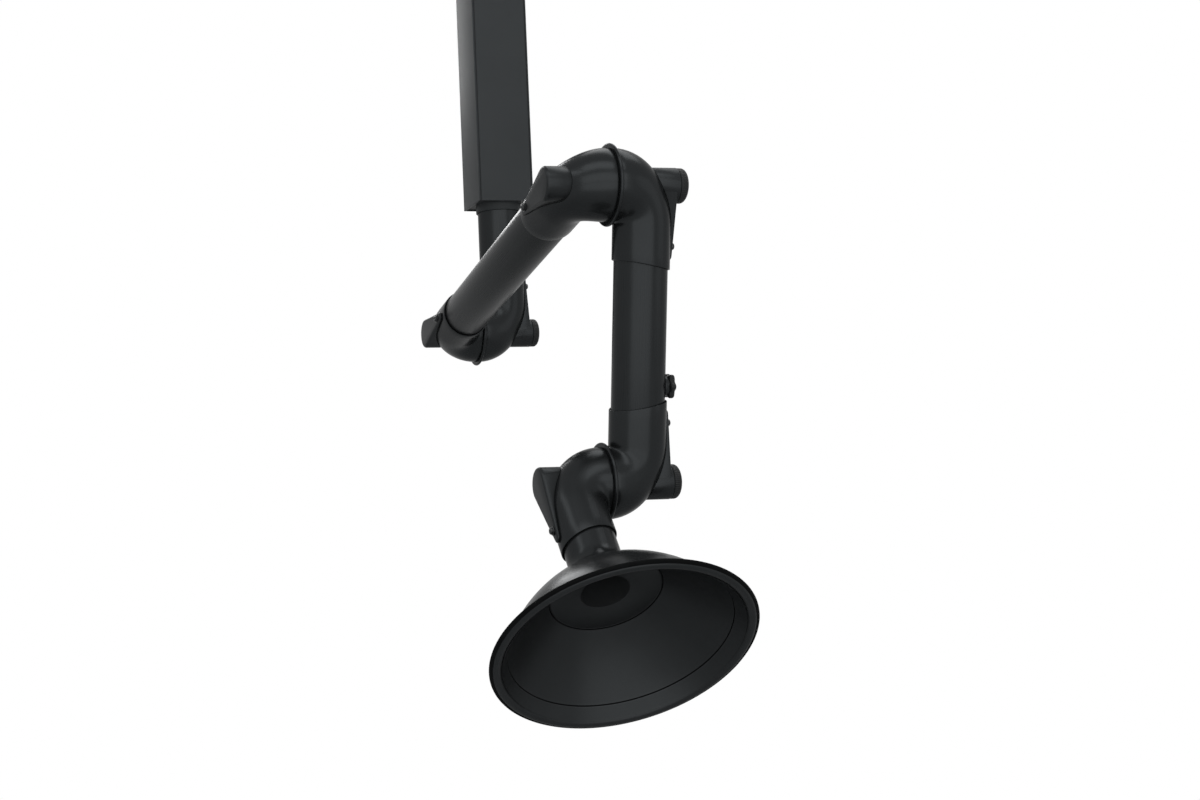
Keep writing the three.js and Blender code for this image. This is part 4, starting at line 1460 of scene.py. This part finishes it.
# %% Hood throat
LINER_WALL = 1.6
THROAT_RISE = 6
PLATE_RISE = 3
liner_out = HOOD_WALL + FIT
throat_radius = NECK_RADIUS - liner_out
throat_bore = throat_radius - LINER_WALL
throat_top = THROAT_RISE - NECK_END
plate_edge = flare_point(plate_angle, liner_out)
throat = turned(rounded([
    (throat_radius, throat_top, 0.3),
    (throat_radius, plate_edge.y + PLATE_RISE + LINER_WALL, 0.8),
    (plate_edge.x - LINER_WALL, plate_edge.y + LINER_WALL, 0.3),
    (plate_edge.x, plate_edge.y, 0.7),
    (throat_bore, plate_edge.y + PLATE_RISE, 0.5),
    (throat_bore, throat_top, 0.3),
]), HOOD_FACETS)
throat_mesh = piece("hood_throat", throat, hood_seat, "moulded_plastic", finish=satin_finish).data
throat_mesh.materials.append(dusty_finish)
for face in throat_mesh.polygons:
    if face.center.to_2d().length / MM < throat_bore + 0.2:
        face.material_index = 1
print("throat plate", THROAT_PLATE, "mm, hole", round(throat_bore, 1), "mm in radius")

# %% [markdown]
# The rim is a separate ring inside the hood's edge: a skirt lies along the wall and ends in the
# fine line seen inside the mouth, then the ring rolls over into a rounded lip. The lip's section
# is half an ellipse. A black rubber bead is pressed on behind it, and shows as the dark outline
# of the mouth; part of that darkness is painted shade in the bead's black.

# %% Hood rim and bead
RIM_STEPS = 12
LIP_STEPS = 20
LIP_WIDTH = 12.4
LIP_DEPTH = 5.4
LIP_INSET = 3.4
LIP_BACK = 1.6
SKIRT_EDGE = 0.4
SKIRT_GROWTH = 0.05
BEAD_RADIUS = 3.2
lip_edge = HOOD_RADIUS - LIP_INSET
lip_middle = Vector((lip_edge - LIP_WIDTH / 2, LIP_DEPTH - hood_reach))
rim_angles = even(rim_angle, FLARE_END, RIM_STEPS)
skirt_out = [flare_point(angle, liner_out) for angle in rim_angles]
skirt_in = []
for k, angle in enumerate(rim_angles):
    skirt_in.append(flare_point(angle, liner_out + SKIRT_EDGE + SKIRT_GROWTH * k))
lip_line = [Vector((mouth_radius + LIP_BACK, skirt_out[-1].y))]
lip_line.append(Vector((lip_edge - LIP_BACK, lip_middle.y + SKIRT_EDGE)))
for angle in even(0, pi, LIP_STEPS):
    out = polar(1, angle)
    lip_line.append(lip_middle + Vector((LIP_WIDTH / 2 * out.x, -LIP_DEPTH * out.y)))
rim = turned(skirt_out + lip_line + skirt_in[-2::-1], HOOD_FACETS)
piece("hood_rim", rim, hood_seat, "moulded_plastic", finish=satin_finish)
bead_centre = Vector((HOOD_RADIUS - BEAD_RADIUS, lip_middle.y))
bead = turned([bead_centre + Vector(point) * BEAD_RADIUS for point in around(20)], HOOD_FACETS)
# The bead's black is its own rubber and partly painted shade for the mouth's dark outline.
piece("hood_edge", bead, hood_seat, "rubber", finish=bead_black_and_painted_shade)
print("pieces", len(pieces), "of", len(frame["nodes"]))

# %% [markdown]
# ## Studio
# The arm hangs over a plain pale floor, as far below the ceiling plate as a room is high. Near
# the arm the floor shows its shadow. Further out it turns to plain white for the camera, so that
# no horizon shows. Mirrored and refracted rays see the same white.

# %% Floor
ROOM_HEIGHT = 2.6
FLOOR_WIDTH = 80
FADE_START = 1.6
FADE_END = 3.6
WHITE = (1, 1, 1, 1)


def looked_at(sheet):
    """1 for rays that come from the camera, straight or by way of a mirror or a glass."""
    kinds = ("Is Camera Ray", "Is Glossy Ray", "Is Transmission Ray")
    seen, glossy, passed = (sheet.node("ShaderNodeLightPath", output=kind) for kind in kinds)
    inputs = {0: seen + glossy + passed, 1: 1.0}
    return sheet.node("ShaderNodeMath", {"operation": "MINIMUM"}, inputs)


def floor_sheet(material):
    sheet = Sheet(material)
    spot = {0: place_on(sheet)}
    away = sheet.node("ShaderNodeVectorMath", {"operation": "LENGTH"}, spot, output="Value")
    fade = mask(sheet, away, FADE_START, FADE_END)
    clouds = noise(sheet, 300, 3)
    colour = between(sheet, (0.78, 0.78, 0.78, 1), (0.82, 0.82, 0.82, 1), clouds)
    pale = sheet.node("ShaderNodeBsdfPrincipled", {}, {"Base Color": colour, "Roughness": 0.8})
    white = sheet.node("ShaderNodeEmission", {}, {"Color": WHITE, "Strength": 1.0})
    both = sheet.node("ShaderNodeMixShader", {}, {0: fade * looked_at(sheet), 1: pale, 2: white})
    sheet.node("ShaderNodeOutputMaterial", {}, {"Surface": both})


floor_mesh = bpy.data.meshes.new("floor")
floor_mesh.from_pydata([(*corner, 0) for corner in square(FLOOR_WIDTH, 0)], [], [(0, 1, 2, 3)])
floor = shown("floor", floor_mesh)
floor.location = (rim_centre.x, rim_centre.y, -ROOM_HEIGHT)
floor_material = bpy.data.materials.new("pale_floor")
floor_sheet(floor_material)
floor_mesh.materials.append(floor_material)
print("floor at", -ROOM_HEIGHT, "m")

# %% [markdown]
# The world is split in the same way: it fills the shadows with a weak cool light, and whoever
# looks at it sees white.

# %% World
world = bpy.data.worlds.new("studio")
bpy.context.scene.world = world
sky = Sheet(world)
fill = sky.node("ShaderNodeBackground", {}, {"Color": (0.95, 0.98, 1.0, 1), "Strength": 0.25})
backdrop = sky.node("ShaderNodeBackground", {}, {"Color": WHITE, "Strength": 1.0})
both = sky.node("ShaderNodeMixShader", {}, {0: looked_at(sky), 1: fill, 2: backdrop})
sky.node("ShaderNodeOutputWorld", {}, {"Surface": both})
print("world", world.name)

# %% [markdown]
# A black object shows little but what it mirrors, so the lamps are the shapes that should appear in
# it. Three long soft panels in front, one above the other, make the broad pale bands down tubes and
# bends. One overhead lights what faces up, and a weak one fills in from the right. One behind puts
# bright spots on the shoulders of bends and hood, and a strip on the left draws a line along the
# first arm.

# %% Lights
LIT_POINT = Vector((-0.05, -0.45, -0.85))


def soft_light(name, place, size, watts):
    lamp = bpy.data.lights.new(name, "AREA")
    lamp.shape = "RECTANGLE"
    lamp.size, lamp.size_y = size
    lamp.energy = watts
    obj = shown(name, lamp)
    obj.location = place
    obj.rotation_euler = (LIT_POINT - Vector(place)).to_track_quat("-Z", "Y").to_euler()


soft_light("front_top", (-0.8, -2.6, 2.2), (4.0, 1.5), 50)
soft_light("front_high", (-1.0, -4.3, 0.3), (7.0, 1.9), 75)
soft_light("front_low", (-1.0, -4.3, -1.6), (7.0, 1.7), 57)
soft_light("overhead", (0.7, 0.1, 1.2), (2.0, 1.0), 24)
soft_light("right", (3.4, -2.6, -0.3), (2.0, 2.0), 9)
soft_light("behind", (-0.02, 2.2, 0.85), (0.9, 1.2), 34)
soft_light("strip_left", (-1.7, -0.6, 0.6), (1.8, 0.35), 6)
print("lights", len(bpy.data.lights))

# %% [markdown]
# The camera stands low and to the left and looks slightly up, so that the hood's mouth opens
# towards it. Its place was worked out from the joint rings, tube edges and rim in the reference
# view. The frame is cropped off-centre, which is what the lens shift is for.

# %% Camera
IMAGE_WIDTH = 1200
FOCAL_PIXELS = 1600
AXIS_PIXEL = 360
YAW, PITCH, ROLL = 0.2134, 0.0779, -0.0330
CAMERA_PLACE = (-0.8566, -2.7236, -1.0716)
level = Vector((cos(YAW), -sin(YAW), 0))
north = Vector((sin(YAW), cos(YAW), 0))
ahead = north * cos(PITCH) + UP * sin(PITCH)
upright = level.cross(ahead)
right = level * cos(ROLL) + upright * sin(ROLL)
upward = upright * cos(ROLL) - level * sin(ROLL)
lens = bpy.data.cameras.new("camera")
lens.sensor_width = 36
lens.lens = FOCAL_PIXELS * lens.sensor_width / IMAGE_WIDTH
lens.shift_x = (IMAGE_WIDTH / 2 - AXIS_PIXEL) / IMAGE_WIDTH
lens.clip_end = 200
camera = shown("camera", lens)
turn = Matrix((right, upward, -ahead)).transposed().to_4x4()
camera.matrix_world = Matrix.Translation(CAMERA_PLACE) @ turn
bpy.context.scene.camera = camera
bpy.context.scene.view_settings.view_transform = "Standard"
print("lens", lens.lens, "mm, shift", round(lens.shift_x, 3))
